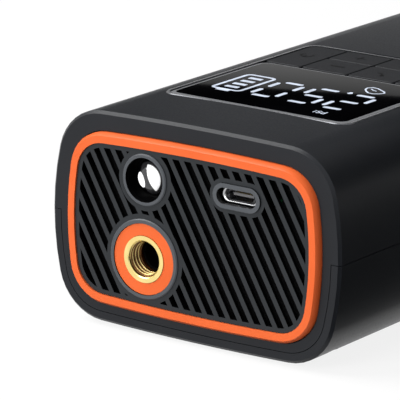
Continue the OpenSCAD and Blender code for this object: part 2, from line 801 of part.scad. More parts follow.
// Contact tongue in the middle of the receptacle
module usb_c_tongue() {
    color(black) place() translate([usb_x, 0, usb_z])
        block([-3.3, usb_c_front + 1.4, -0.35], [3.3, usb_c_back - usb_c_wall, 0.35]);
}

// Board that carries the receptacle
module usb_board() {
    color(board_green) place() difference() {
        block([usb_x - 9.5, flange_back + fit, usb_board_z], [usb_x + 9.5, flange_back + 16, usb_board_z + 1]);
        block([usb_x - usb_c_w / 2 - 0.2, 0, usb_board_z - 1], [usb_x + usb_c_w / 2 + 0.2, usb_c_back + 0.1, usb_board_z + 2]);
    }
}

// ---- Top panel: trim, glass, display and keys ----

// Bright frame round glass and keys
module panel_trim() {
    rings = [[ledge_z, 0], [trim_top - trim_bevel, 0], [trim_top, trim_bevel]];
    color(alloy) place() translate([0, panel_mid, 0]) difference() {
        loft([for (q = rings)
            [for (p = round_rect(trim_w - 2 * q[1], trim_len - 2 * q[1], trim_r - q[1])) [p[0], p[1], q[0]]]]);
        slab(ledge_z - 1, trim_top + 1)
            polygon(round_rect(panel_in_w, trim_len - 2 * trim_band, trim_r - trim_band));
    }
}

glass_low = ledge_z + fit / 2;
glass_top = trim_top - 0.1;

// Black display glass with a bevelled edge
module display_glass() {
    w = panel_in_w - 2 * fit;
    rings = [[glass_low, 0], [glass_top - trim_bevel, 0], [glass_top - trim_bevel * 0.3, glass_bevel * 0.4],
        [glass_top, glass_bevel]];
    corner = trim_r - trim_band - fit;
    color(black) place() translate([0, (glass_front + glass_back) / 2, 0])
        loft([for (q = rings)
            [for (p = round_rect(w - 2 * q[1], glass_len - 2 * q[1], corner - q[1] * 0.6)) [p[0], p[1], q[0]]]]);
}

// Light block of the segment display under the glass
module segment_display() {
    gap = 0.4;
    w = display_window;
    color([0.75, 0.76, 0.78]) place()
        block([w[0][0] + gap, w[0][1] + gap, panel_board_z], [w[1][0] - gap, w[1][1] - gap, ledge_z - 0.2]);
}

// Board under display and keys
module panel_board() {
    color(board_green) place() translate([0, (board_front + board_back) / 2, 0])
        slab(panel_board_z - pcb_t, panel_board_z)
            polygon(round_rect(board_w, board_back - board_front, 3));
}

// Keys as [left, right, front, back]: a tall one at each side, two rows of two between them
keys_left = -panel_in_w / 2 + key_gap;
keys_right = panel_in_w / 2 - key_gap;
mid_left = keys_left + tall_left_w + key_gap;
mid_split = mid_left + mid_key_w;
mid_right = mid_split + key_gap + mid_key_w;
row_split = keys_front + near_row;
rect_power = [keys_left, mid_left - key_gap, keys_front, keys_back];
rect_minus = [mid_left, mid_split, keys_front, row_split];
rect_mode = [mid_split + key_gap, mid_right, keys_front, row_split];
rect_plus = [mid_left, mid_split, row_split + key_gap, keys_back];
rect_light = [mid_split + key_gap, mid_right, row_split + key_gap, keys_back];
rect_start = [mid_right + key_gap, keys_right, keys_front, keys_back];
key_rects = [rect_power, rect_minus, rect_mode, rect_plus, rect_light, rect_start];
key_top = trim_top - 0.1;
key_low = key_top - cap_t;
switch_top = panel_board_z + 2.4;
stem_low = switch_top + key_travel + 0.15;

key_r = 0.8;
key_outer_r = trim_r - trim_band - key_gap;

// Key cap with a bevelled edge and the stem that presses its switch
module key(r, back_right = key_r, back_left = key_r) {
    mid = [(r[0] + r[1]) / 2, (r[2] + r[3]) / 2];
    w = r[1] - r[0];
    l = r[3] - r[2];
    edge = trim_bevel / 2;
    rings = [[key_low, 0], [key_top - edge, 0], [key_top, edge]];
    color(dark) place() translate([mid[0], mid[1], 0]) {
        loft([for (q = rings)
            [for (p = corner_rect(w - 2 * q[1], l - 2 * q[1],
                [back_right - q[1], back_left - q[1], key_r - q[1], key_r - q[1]])) [p[0], p[1], q[0]]]]);
        block([-stem_w / 2, -stem_w / 2, stem_low], [stem_w / 2, stem_w / 2, key_low + eps]);
    }
}

module key_power() { key(rect_power, back_left = key_outer_r); }
module key_minus() { key(rect_minus); }
module key_mode() { key(rect_mode); }
module key_plus() { key(rect_plus); }
module key_light() { key(rect_light); }
module key_start() { key(rect_start, back_right = key_outer_r); }

// Six push switches on the panel board
module key_switches() {
    color([0.5, 0.5, 0.52]) place() for (r = key_rects)
        translate([(r[0] + r[1]) / 2, (r[2] + r[3]) / 2, 0]) {
            block([-3, -3, panel_board_z], [3, 3, switch_top - 0.8]);
            bar_z(0, 0, 1.7, switch_top - 0.9, switch_top);
        }
}

// ---- Rear ports ----

hinge_r = 2;
hinge_d = overall_len - 0.1 - hinge_r;
hinge_z = bay_h / 2 - 2.4;
cover_gap = 0.4;
bay_flange = 3;
usb_a_w = 13.7;
usb_a_h = 6.3;
jump_mouth = bay_floor + 1.5;
post_in = 3.5;

// Recess for the ports, with a flange inside the rear plate and posts for the rear board
module rear_panel() {
    color(dark) place() difference() {
        union() {
            prism(bay_floor - bay_wall, overall_len)
                polygon(round_rect(bay_out_w, bay_out_h, bay_r + bay_wall));
            prism(rear_in - bay_wall, rear_in)
                polygon(round_rect(bay_out_w + 2 * bay_flange, bay_out_h + 2 * bay_flange, bay_r + bay_wall));
            for (sx = [-1, 1]) for (sz = [-1, 1])
                bar_y(sx * (bay_w / 2 - post_in), sz * (bay_h / 2 - post_in), 2.2,
                    board_back_d + pcb_t, bay_floor - bay_wall + eps);
        }
        prism(bay_floor, overall_len + 1) polygon(round_rect(bay_w, bay_h, bay_r));
        // bevel that the opened cover leans into
        translate([-bay_w / 2 + bay_r, 0, 0]) rotate([90, 0, 90]) linear_extrude(bay_w - 2 * bay_r)
            polygon([[overall_len - bay_wall - eps, bay_h / 2 - eps], [overall_len + 1, bay_h / 2 - eps],
                [overall_len + 1, bay_h / 2 + bay_wall + 1]]);
        for (sx = [-1, 1])
            translate([sx * (bay_w / 2 - bay_r), overall_len - bay_wall - eps, bay_h / 2 - bay_r])
                rotate([-90, 0, 0])
                    cylinder(r1 = bay_r - eps, r2 = bay_r + bay_wall + 1, h = bay_wall + 1 + eps);
        // openings for the sockets
        prism(bay_floor - bay_wall - 1, bay_floor + 1) {
            translate([-jump_x, 0]) square([jump_w + 2 * fit, jump_h + 2 * fit], center = true);
            translate([usb_a_x, 0]) square([usb_a_w + 2 * fit, usb_a_h + 2 * fit], center = true);
        }
        bar_x(hinge_d, hinge_z, pin_r + run_fit / 2, -bay_w / 2 - bay_wall / 2, bay_w / 2 + bay_wall / 2);
    }
}

// Hinged cover over the ports, with a finger groove
module port_cover() {
    half = bay_w / 2 - cover_gap;
    low = -bay_h / 2 + cover_gap;
    r = bay_r - cover_gap;
    cut = 3.5;
    barrel = bay_w / 2 - bay_r - cover_gap;
    color(rubber) place() difference() {
        union() {
            prism(overall_len - 0.1 - cover_t, overall_len - 0.1) polygon(concat(
                [[half, hinge_z - cut], [half - cut, hinge_z], [-half + cut, hinge_z], [-half, hinge_z - cut]],
                arc_pts([-half + r, low + r], r, 180, 270, 6), [[-half + r, low]],
                arc_pts([half - r, low + r], r, 270, 360, 6), [[half, low + r]]));
            bar_x(hinge_d, hinge_z, hinge_r, -barrel, barrel);
        }
        bar_x(hinge_d, hinge_z, pin_r + run_fit, -half - 1, half + 1);
        translate([0, overall_len + 5, -bay_h / 2 + 5]) rotate([0, 90, 0])
            cylinder(r = 6.2, h = 18, center = true);
    }
}

// Steel hinge pin
module cover_pin() {
    color(steel) place()
        bar_x(hinge_d, hinge_z, pin_r, -bay_w / 2 - bay_wall / 2 + fit, bay_w / 2 + bay_wall / 2 - fit);
}

contact_wall = 0.7;
contact_x = [-jump_x - contact_pitch / 2, -jump_x + contact_pitch / 2];
contact_front = jump_mouth - 1;
contact_seat = board_back_d + pcb_t + 4;

// Block of the high-current jump socket, two of its corners cut so that the plug fits one way
module jump_socket() {
    cut = 3;
    color([0.12, 0.13, 0.2]) place() difference() {
        translate([-jump_x, 0, 0]) prism(board_back_d + pcb_t + fit, jump_mouth) polygon([
            [-jump_w / 2, -jump_h / 2], [jump_w / 2 - cut, -jump_h / 2], [jump_w / 2, -jump_h / 2 + cut],
            [jump_w / 2, jump_h / 2 - cut], [jump_w / 2 - cut, jump_h / 2], [-jump_w / 2, jump_h / 2]]);
        for (x = contact_x) {
            bar_y(x, 0, contact_r + contact_wall + fit, contact_seat, jump_mouth + 1);
            bar_y(x, 0, contact_r - 0.5 + fit, board_back_d, contact_seat + 1);
        }
    }
}

// Two gold-plated contact sleeves with solder tails
module jump_contacts() {
    color(brass) place() for (x = contact_x) difference() {
        union() {
            bar_y(x, 0, contact_r + contact_wall, contact_seat + fit, contact_front);
            bar_y(x, 0, contact_r - 0.5, board_back_d + pcb_t + fit, contact_seat + fit + eps);
        }
        bar_y(x, 0, contact_r, contact_seat + 1.5, contact_front + 1);
    }
}

usb_a_wall = 0.6;
usb_a_front = bay_floor + 0.8;
usb_a_back = board_back_d + pcb_t + fit;

// Steel sleeve of the USB-A port
module usb_a_shell() {
    color(steel) place() translate([usb_a_x, 0, 0]) difference() {
        block([-usb_a_w / 2, usb_a_back, -usb_a_h / 2], [usb_a_w / 2, usb_a_front, usb_a_h / 2]);
        block([-usb_a_w / 2 + usb_a_wall, usb_a_back + usb_a_wall, -usb_a_h / 2 + usb_a_wall],
            [usb_a_w / 2 - usb_a_wall, usb_a_front + 1, usb_a_h / 2 - usb_a_wall]);
    }
}

// Contact tongue of the USB-A port
module usb_a_tongue() {
    color([0.9, 0.35, 0.1]) place() translate([usb_a_x, 0, 0])
        block([-5.5, usb_a_back + usb_a_wall, 0.4], [5.5, usb_a_front - 1.2, 2.2]);
}

// Board that carries both sockets
module rear_board() {
    color(board_green) place() prism(board_back_d, board_back_d + pcb_t)
        polygon(round_rect(bay_w - 2, bay_h - 2, 2));
}

bar_w = 7;
bar_t = 1;
bar_in = 8;

// Copper straps from the main board down to the jump socket
module bus_bars() {
    front = board_back_d - fit - bar_t;
    top = main_board_z + pcb_t;
    color(copper) place() for (x = contact_x) {
        block([x - bar_w / 2, cradle_back - bar_in, top], [x + bar_w / 2, front + bar_t, top + bar_t]);
        block([x - bar_w / 2, front, -4], [x + bar_w / 2, front + bar_t, top + bar_t]);
    }
}

// ---- Battery and main board ----

cell_play = 0.2;
cell_low = rib_top + cradle_t + fit;
cell_t = (main_board_z - 1.7 - cell_low - (cell_count - 1) * cell_play) / cell_count;
cradle_half = cell_w / 2 + fit + cradle_t;

// Open tray that holds the cells and carries the main board on its side walls
module battery_cradle() {
    color(black) place() difference() {
        block([-cradle_half, cradle_front, rib_top], [cradle_half, cradle_back, main_board_z]);
        block([-cell_w / 2 - fit, cradle_front + cradle_t, rib_top + cradle_t],
            [cell_w / 2 + fit, cradle_back - cradle_t, main_board_z + 1]);
        // cut-outs in the end walls for the cell tabs
        block([-cell_w / 2 + 8, cradle_front - 1, rib_top + 8], [cell_w / 2 - 8, cradle_back + 1, main_board_z + 1]);
    }
}

// Flat pouch cells in one stack
module battery_cells() {
    color([0.55, 0.58, 0.62]) place() for (i = [0 : cell_count - 1])
        translate([0, (cradle_front + cradle_back) / 2, 0])
            slab(cell_low + i * (cell_t + cell_play), cell_low + i * (cell_t + cell_play) + cell_t)
                polygon(round_rect(cell_w, cell_l, 2.5, 4));
}

// Main board over the battery
module main_board() {
    color(board_green) place() translate([0, (cradle_front + cradle_back) / 2, 0])
        slab(main_board_z, main_board_z + pcb_t)
            polygon(round_rect(2 * cradle_half, cradle_back - cradle_front, 2));
}

relay_w = 30;
relay_l = 17;
relay_h = 8.5;
cap_r = 4;
cap_h = 8;

// Relay that switches the starting current
module power_relay() {
    top = main_board_z + pcb_t;
    color([0.1, 0.1, 0.12]) place() translate([-cell_w / 6, cradle_front + 9 + relay_l, 0])
        slab(top, top + relay_h) polygon(round_rect(relay_w, relay_l, 1.5));
}

// Electrolytic capacitors beside the relay
module capacitors() {
    top = main_board_z + pcb_t;
    color([0.25, 0.27, 0.32]) place() for (i = [0 : 2])
        bar_z(cell_w / 4, cradle_front + 14 + 2.75 * cap_r * i, cap_r, top, top + cap_h);
}

// ---- Compressor: motor, pinion, crank gear, rod and piston ----

crank_z = -pump_drop;
mesh_play = 0.1;
gear_m = 2 * (gear_span - mesh_play) / (gear_teeth + pinion_teeth);
gear_pitch_r = gear_m * gear_teeth / 2;
pinion_pitch_r = gear_m * pinion_teeth / 2;
motor_x = crank_x + gear_span;
gear_back = frame_d - 2;
gear_front = gear_back - gear_t;
rod_back = gear_front - 2.5;
rod_front = rod_back - rod_t;
rod_mid = (rod_front + rod_back) / 2;
gear_out_r = gear_pitch_r + 0.75 * gear_m;
bracket_t = 3;
bracket_x = crank_x - gear_out_r - 0.9;
small_end_r = 3.2;
wrist_x = crank_x - throw - rod_len;
skirt_end = bracket_x - 2 * throw;
crown_in = wrist_x - small_end_r - 2 * throw - 0.3;
piston_crown_t = 3;
piston_top = crown_in - piston_crown_t;
cyl_top = piston_top - 0.4;
cyl_base = bracket_x - bracket_t;
head_t = 6;
cyl_out_r = bore_r + cyl_wall;
frame_back = frame_d + frame_t;
motor_back = frame_back + motor_len;
bolt_r = 1.2;
bolt_off = 10.6;
bolt_at = [for (sd = [-1, 1]) for (sz = [-1, 1]) [rod_mid + sd * bolt_off, crank_z + sz * bolt_off]];
head_half = 13.2;
bearing_r = 6;
crank_shaft_r = 3;
crank_pin_r = 2;
motor_boss_r = 5;

// Gear outline: each tooth is a straight-flanked wedge that narrows from root to tip
function gear_pts(teeth, pitch_r, m, phase, root_f, pitch_f, tip_f) =
    [for (k = [0 : teeth - 1]) let (p = 360 / teeth, c = phase + k * p) each [
        for (q = [[-root_f, -m], [-pitch_f, 0], [-tip_f, 0.75 * m], [tip_f, 0.75 * m], [pitch_f, 0], [root_f, -m]])
            let (t = c + q[0] * p / 2, r = pitch_r + q[1]) [r * cos(t), r * sin(t)]]];

// Frame with a plate for motor and crank and a bracket for the cylinder
module pump_frame() {
    top = crank_z + motor_r + 2;
    color(alloy) place() difference() {
        union() {
            block([bracket_x - bracket_t, frame_d, pad_top], [motor_x + motor_boss_r + 3, frame_back, top]);
            block([bracket_x - bracket_t, rod_mid - head_half, pad_top], [bracket_x, frame_back, top]);
        }
        bar_y(crank_x, crank_z, bearing_r + fit / 2, frame_d - 1, frame_back + 1);
        bar_y(motor_x, crank_z, motor_boss_r + fit, frame_d - 1, frame_back + 1);
        bar_x(rod_mid, crank_z, bore_r + 0.3, bracket_x - bracket_t - 1, bracket_x + 1);
        for (p = bolt_at) bar_x(p[0], p[1], bolt_r + fit, bracket_x - bracket_t - 1, bracket_x + 1);
    }
}

// Rubber pads between the frame and the lower shell
module pump_pads() {
    color(rubber) place() for (x = pad_x)
        block([x - pad_w / 2, frame_d + frame_t / 2 - pad_d / 2, pad_top - pad_h],
            [x + pad_w / 2, frame_d + frame_t / 2 + pad_d / 2, pad_top]);
}

shaft_back = frame_back + 12;

// Motor can with its front boss
module motor_can() {
    color(alloy) place() difference() {
        union() {
            bar_y(motor_x, crank_z, motor_r, frame_back, motor_back);
            bar_y(motor_x, crank_z, motor_boss_r, frame_d + 1, frame_back + eps);
        }
        bar_y(motor_x, crank_z, shaft_r + run_fit, frame_d, shaft_back + 0.4);
    }
}

// Moulded end cap with two terminals
module motor_endcap() {
    color(black) place() {
        bar_y(motor_x, crank_z, motor_r - 1.5, motor_back, motor_back + 1.6);
        for (sz = [-1, 1]) block([motor_x - 1.5, motor_back + 1.5, crank_z + sz * 8 - 0.4],
            [motor_x + 1.5, motor_back + 3.4, crank_z + sz * 8 + 0.4]);
    }
}

// Pinion on the motor's shaft
module drive_pinion() {
    half_tooth = 180 / pinion_teeth;
    color(steel) place() {
        translate([motor_x, 0, crank_z]) prism(gear_front, gear_back)
            polygon(gear_pts(pinion_teeth, pinion_pitch_r, gear_m, half_tooth, 0.56, 0.42, 0.16));
        bar_y(motor_x, crank_z, shaft_r, gear_front - 1, shaft_back);
    }
}

// Bearing of the crank shaft
module crank_bearing() {
    color(steel) place() difference() {
        bar_y(crank_x, crank_z, bearing_r, frame_d, frame_back);
        bar_y(crank_x, crank_z, crank_shaft_r + run_fit, frame_d - 1, frame_back + 1);
    }
}

// Crank gear with its shaft, crank pin and counterweight
module crank_gear() {
    weight_t = 1.8;
    color([0.85, 0.83, 0.78]) place() translate([crank_x, 0, crank_z]) {
        difference() {
            prism(gear_front, gear_back)
                polygon(gear_pts(gear_teeth, gear_pitch_r, gear_m, 0, 0.6, 0.44, 0.2));
            // lightening holes in the web
            for (a = [30, 90, 270, 330]) bar_y(10 * cos(a), 10 * sin(a), 3, gear_front - 1, gear_back + 1);
        }
        bar_y(0, 0, crank_shaft_r, gear_back - eps, frame_back + 0.6);
        bar_y(-throw, 0, crank_pin_r, rod_front - 0.6, gear_front + eps);
        // counterweight opposite the pin
        intersection() {
            difference() {
                bar_y(0, 0, 13, gear_front - weight_t, gear_front + eps);
                bar_y(0, 0, 6.5, gear_front - weight_t - 1, gear_front + 1);
            }
            block([3, gear_front - weight_t - 1, -14], [14, gear_front + 1, 14]);
        }
    }
}

big_end_r = 4.6;
wrist_r = 1.5;

// Connecting rod with an eye at each end
module con_rod() {
    color(alloy) place() difference() {
        union() {
            bar_y(crank_x - throw, crank_z, big_end_r, rod_front, rod_back);
            bar_y(wrist_x, crank_z, small_end_r, rod_front, rod_back);
            block([wrist_x, rod_front + 0.4, crank_z - 2], [crank_x - throw, rod_back - 0.4, crank_z + 2]);
        }
        bar_y(crank_x - throw, crank_z, crank_pin_r + run_fit, rod_front - 1, rod_back + 1);
        bar_y(wrist_x, crank_z, wrist_r + fit / 2, rod_front - 1, rod_back + 1);
    }
}

// Wrist pin, carried in the rod's small eye
module wrist_pin() {
    color(steel) place() bar_y(wrist_x, crank_z, wrist_r, rod_mid - 4.6, rod_mid + 4.6);
}

skirt_t = 1.2;
seal_w = 2;
seal_h = 0.9;
seal_x = crown_in - 0.2;

// Piston: a crown with a skirt that the rod reaches into
module piston() {
    r = bore_r - run_fit;
    color(alloy) place() difference() {
        bar_x(rod_mid, crank_z, r, piston_top, skirt_end);
        bar_x(rod_mid, crank_z, r - skirt_t, crown_in, skirt_end + 1);
        difference() {
            bar_x(rod_mid, crank_z, r + 1, seal_x - seal_w - fit, seal_x);
            bar_x(rod_mid, crank_z, r - seal_h, seal_x - seal_w - fit - 1, seal_x + 1);
        }
    }
}

// Sealing ring in the piston's groove
module piston_seal() {
    r = bore_r - run_fit;
    color(rubber) place() difference() {
        bar_x(rod_mid, crank_z, r + run_fit / 2, seal_x - seal_w - fit / 2, seal_x - fit / 2);
        bar_x(rod_mid, crank_z, r - seal_h + fit / 2, seal_x - seal_w - 1, seal_x + 1);
    }
}

// Finned cylinder
module pump_cylinder() {
    fins = 4;
    fin_t = 1.2;
    step = (cyl_base - cyl_top - 3) / fins;
    color(alloy) place() difference() {
        union() {
            bar_x(rod_mid, crank_z, cyl_out_r, cyl_top, cyl_base);
            for (i = [0 : fins - 1])
                bar_x(rod_mid, crank_z, cyl_out_r + fin_h, cyl_top + 2 + i * step, cyl_top + 2 + i * step + fin_t);
        }
        bar_x(rod_mid, crank_z, bore_r, cyl_top - 1, cyl_base + 1);
    }
}

head_x = round(100 * (cyl_top - head_t / 2)) / 100;
bend_x = barb_x - barb_len;
bend_r = bend_x - head_x;
bend_d = port_d + bend_r;
nipple_front = bend_d + 0.5;

// Cylinder head with the hose nipple
module cylinder_head() {
    color(alloy) place() difference() {
        union() {
            translate([cyl_top - head_t, rod_mid, crank_z]) rotate([90, 0, 90]) linear_extrude(head_t)
                polygon(round_rect(2 * head_half, 2 * head_half, 3));
            bar_y(head_x, outlet_z, hose_bore_r - run_fit, nipple_front, rod_mid);
        }
        bar_y(head_x, outlet_z, hose_bore_r - 0.8, nipple_front - 1, rod_mid);
        bar_x(rod_mid, crank_z, 1, head_x, cyl_top + 1);
        for (p = bolt_at) bar_x(p[0], p[1], bolt_r + fit, cyl_top - head_t - 1, cyl_top + 1);
    }
}

// Four long bolts that clamp head and cylinder to the bracket
module head_bolts() {
    color(steel) place() for (p = bolt_at) {
        bar_x(p[0], p[1], bolt_r, cyl_top - head_t - eps, bracket_x + 0.4);
        bar_x(p[0], p[1], 2.2, cyl_top - head_t - 1.4, cyl_top - head_t);
    }
}

// Air hose: off the nipple, a quarter turn, onto the outlet's barb
module air_hose() {
    color(rubber) place() difference() {
        union() {
            bar_x(port_d, outlet_z, hose_r, bend_x, barb_x - fit);
            translate([bend_x, bend_d, outlet_z]) rotate(180) rotate_extrude(angle = 90)
                translate([bend_r, 0]) circle(r = hose_r);
            bar_y(head_x, outlet_z, hose_r, bend_d, rod_mid - head_half - fit);
        }
        bar_x(port_d, outlet_z, hose_bore_r, bend_x, barb_x + 1);
        translate([bend_x, bend_d, outlet_z]) rotate(180) rotate_extrude(angle = 90)
            translate([bend_r, 0]) circle(r = hose_bore_r);
        bar_y(head_x, outlet_z, hose_bore_r, bend_d, rod_mid);
    }
}

upper_shell();
lower_shell();
case_screws();
rubber_feet();
accent_ring();
grille_plate();
outlet_disc();
outlet_insert();
outlet_seal();
outlet_nut();
torch_barrel();
torch_lens();
torch_reflector();
torch_led();
torch_board();
usb_c_shell();
usb_c_tongue();
usb_board();
panel_trim();
display_glass();
segment_display();
panel_board();
key_switches();
key_power();
key_minus();
key_mode();
key_plus();
key_light();
key_start();
rear_panel();
port_cover();
cover_pin();
jump_socket();
jump_contacts();
usb_a_shell();
usb_a_tongue();
rear_board();
bus_bars();
battery_cradle();
battery_cells();
main_board();
power_relay();
capacitors();
pump_frame();
pump_pads();
motor_can();
motor_endcap();
drive_pinion();
crank_bearing();
crank_gear();
con_rod();
wrist_pin();
piston();
piston_seal();
pump_cylinder();
cylinder_head();
head_bolts();
air_hose();
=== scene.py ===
"""Looks of the jump starter pack: finishes, marks, thread and contacts, and its studio."""

from __future__ import annotations

import logging
import math
from dataclasses import dataclass
from enum import Enum
from functools import cached_property
from typing import Callable, ClassVar, Iterable, Mapping, Sequence

import bmesh
import bpy
from mathutils import Matrix, Vector

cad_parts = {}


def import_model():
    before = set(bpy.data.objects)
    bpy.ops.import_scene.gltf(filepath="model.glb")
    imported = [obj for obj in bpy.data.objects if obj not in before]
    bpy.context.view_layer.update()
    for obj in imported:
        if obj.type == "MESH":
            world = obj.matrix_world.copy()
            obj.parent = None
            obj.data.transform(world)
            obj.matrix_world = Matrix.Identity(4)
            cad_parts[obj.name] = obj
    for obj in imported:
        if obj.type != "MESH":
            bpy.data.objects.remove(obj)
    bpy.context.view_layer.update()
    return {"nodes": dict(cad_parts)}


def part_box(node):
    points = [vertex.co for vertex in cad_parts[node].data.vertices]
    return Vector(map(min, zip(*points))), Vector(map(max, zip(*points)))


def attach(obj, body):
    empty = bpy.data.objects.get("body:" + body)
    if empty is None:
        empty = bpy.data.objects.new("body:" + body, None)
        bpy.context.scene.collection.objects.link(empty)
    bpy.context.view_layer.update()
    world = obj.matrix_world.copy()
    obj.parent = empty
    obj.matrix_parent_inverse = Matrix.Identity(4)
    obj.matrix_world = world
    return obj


LOG = logging.getLogger("jump_starter_pack")
MM = 0.001
# Range in which most of a noise value lies
NOISE_LOW, NOISE_HIGH = 0.3, 0.7
# Steepest edge that is shaded smooth, in degrees, and the distance at which points are joined
SMOOTH_LIMIT, JOIN_DISTANCE = 31.0, 2e-6
# Least share of a line's half width in a bend, which keeps sharp mitres short
MITRE_FLOOR = 0.35

Point2 = tuple[float, float]
Point3 = tuple[float, float, float]
Rgb = tuple[float, float, float]
Rgba = tuple[float, float, float, float]
Socket = bpy.types.NodeSocket
Sockets = bpy.types.NodeOutputs
Value = Socket | float | bool | str | Sequence[float]
Nodes = dict[str, bpy.types.Object]


class Grain(Enum):
    """Stretch of a surface's fine relief along X, Y and Z."""

    SPARKED = (1.0, 1.0, 1.0)
    BRUSHED_X = (0.04, 1.0, 1.0)
    TURNED_Y = (0.06, 1.6, 0.06)
    SMOOTH = (0.5, 0.5, 0.5)


class Stroke(Enum):
    """Which segments of a seven-segment digit are lit, by their usual letters."""

    ZERO = "abcdef"
    TWO = "abged"
    FIVE = "afgcd"


# ---- Finishes ----


def linear(rgb: Rgb) -> Rgba:
    """Turns a screen colour into the renderer's linear colour.

    Args:
        rgb: Red, green and blue from 0 to 255.

    Returns:
        The linear colour with full alpha.
    """
    parts = [value / 255.0 for value in rgb]
    red, green, blue = (c / 12.92 if c <= 0.04045 else ((c + 0.055) / 1.055) ** 2.4 for c in parts)
    return (red, green, blue, 1.0)


class Sheet:
    """A sheet of nodes, with short calls to add and join them."""

    def __init__(self, tree: bpy.types.NodeTree, output: str = "ShaderNodeOutputMaterial") -> None:
        """Clears a node tree and gives it its output.

        Args:
            tree: The node tree.
            output: Type name of the output node.
        """
        tree.nodes.clear()
        self.tree = tree
        self.output = self.add(output)

    @cached_property
    def place(self) -> Socket:
        """Object coordinates, from a node that is added at first use."""
        return self.add("ShaderNodeTexCoord").outputs["Object"]

    @cached_property
    def normal(self) -> Sockets:
        """X, Y and Z of the face's own normal, from nodes that are added at first use."""
        return self.split(self.add("ShaderNodeNewGeometry").outputs["True Normal"])

    def add(
        self, kind: str, inputs: Mapping[str | int, Value] | None = None, **settings: object
    ) -> bpy.types.Node:
        """Adds a node, sets its properties and feeds its inputs.

        Args:
            kind: The node's type name.
            inputs: Constants, or sockets to link, by input name or number.
            **settings: Properties of the node.

        Returns:
            The new node.
        """
        node = self.tree.nodes.new(kind)
        for key, value in settings.items():
            setattr(node, key, value)
        for key, value in (inputs or {}).items():
            if isinstance(value, bpy.types.NodeSocket):
                self.tree.links.new(value, node.inputs[key])
            else:
                node.inputs[key].default_value = value
        return node

    def show(self, out: Socket) -> None:
        """Joins a socket to the sheet's output."""
        self.tree.links.new(out, self.output.inputs[0])

    def shader(self, **inputs: Value) -> Socket:
        """Adds the surface shader.

        Args:
            **inputs: Constants or sockets by input name, with underscores for spaces.

        Returns:
            The shader's output.
        """
        named = {key.replace("_", " "): value for key, value in inputs.items()}
        return self.add("ShaderNodeBsdfPrincipled", named).outputs["BSDF"]

    def split(self, vector: Socket) -> Sockets:
        """Splits a vector into X, Y and Z."""
        return self.add("ShaderNodeSeparateXYZ", {"Vector": vector}).outputs

    def calc(self, kind: str, *values: Value) -> Socket:
        """Works out one value from up to three."""
        return self.add("ShaderNodeMath", dict(enumerate(values)), operation=kind).outputs["Value"]

    def line(self, x: Socket, z: Socket, by_x: float, by_z: float, start: float) -> Socket:
        """Adds two values, each with its factor, and a constant."""
        first = self.calc("MULTIPLY_ADD", x, by_x, start)
        return self.calc("MULTIPLY_ADD", z, by_z, first)

    def squares(self, first: Socket, second: Socket) -> Socket:
        """Adds the squares of two values."""
        parts = self.calc("MULTIPLY", first, first), self.calc("MULTIPLY", second, second)
        return self.calc("ADD", *parts)

    def stretched(self, scale: Point3) -> Socket:
        """Gives object coordinates scaled along each axis."""
        inputs = {"Vector": self.place, "Scale": scale}
        return self.add("ShaderNodeMapping", inputs).outputs["Vector"]

    def noise(self, per_metre: float, detail: float = 3.0, vector: Socket | None = None) -> Socket:
        """Adds a noise texture.

        Args:
            per_metre: Its scale.
            detail: Its octaves.
            vector: Coordinates to use in place of the object's own.

        Returns:
            The noise value.
        """
        inputs = {"Scale": per_metre, "Detail": detail, "Vector": vector or self.place}
        return self.add("ShaderNodeTexNoise", inputs).outputs["Fac"]

    def cells(self, per_metre: float, **settings: object) -> Socket:
        """Adds a cell texture and gives its distance."""
        inputs = {"Scale": per_metre, "Vector": self.place}
        return self.add("ShaderNodeTexVoronoi", inputs, **settings).outputs["Distance"]

    def reach(
        self, value: Socket, low: float, high: float, to: Point2 = (0.0, 1.0), soft: bool = False
    ) -> Socket:
        """Maps one range onto another and holds the value at its ends.

        Args:
            value: The value.
            low: Where the first end is reached.
            high: Where the second end is reached.
            to: Results at the two ends.
            soft: Whether the ends are eased.

        Returns:
            The mapped value.
        """
        ends = {"From Min": low, "From Max": high, "To Min": to[0], "To Max": to[1]}
        ease = "SMOOTHSTEP" if soft else "LINEAR"
        node = self.add("ShaderNodeMapRange", {"Value": value, **ends}, interpolation_type=ease)
        return node.outputs["Result"]

    def span(self, value: Socket, low: float, high: float) -> Socket:
        """Maps the middle of a noise value onto a range."""
        return self.reach(value, NOISE_LOW, NOISE_HIGH, (low, high))

    def blend(self, value: Socket, first: Rgb, second: Rgb) -> Socket:
        """Runs the middle of a noise value through a ramp between two colours.

        Args:
            value: Where on the ramp each point lies.
            first: Colour at the low end, 0 to 255.
            second: Colour at the high end.

        Returns:
            The ramp's colour.
        """
        ramp = self.add("ShaderNodeValToRGB", {"Fac": value})
        ends = (NOISE_LOW, first), (NOISE_HIGH, second)
        for stop, (position, colour) in zip(ramp.color_ramp.elements, ends):
            stop.position, stop.color = position, linear(colour)
        return ramp.outputs["Color"]

    def mix(self, share: Socket, first: Socket | Rgba, second: Socket | Rgba) -> Socket:
        """Mixes two colours: the first at a share of 0, the second at 1."""
        inputs = {"Factor": share, 6: first, 7: second}
        return self.add("ShaderNodeMix", inputs, data_type="RGBA").outputs[2]

    def relief(self, height: Socket, depth_mm: float, strength: float = 1.0) -> Socket:
        """Gives the normal of a surface bumped to a depth."""
        inputs = {"Height": height, "Distance": depth_mm * MM, "Strength": strength}
        return self.add("ShaderNodeBump", inputs).outputs["Normal"]


def material_sheet(name: str) -> tuple[bpy.types.Material, Sheet]:
    """Makes a material and opens its sheet.

    Args:
        name: The material's name.

    Returns:
        The material and its empty sheet.
    """
    material = bpy.data.materials.new(name)
    material.use_nodes = True
    return material, Sheet(material.node_tree)


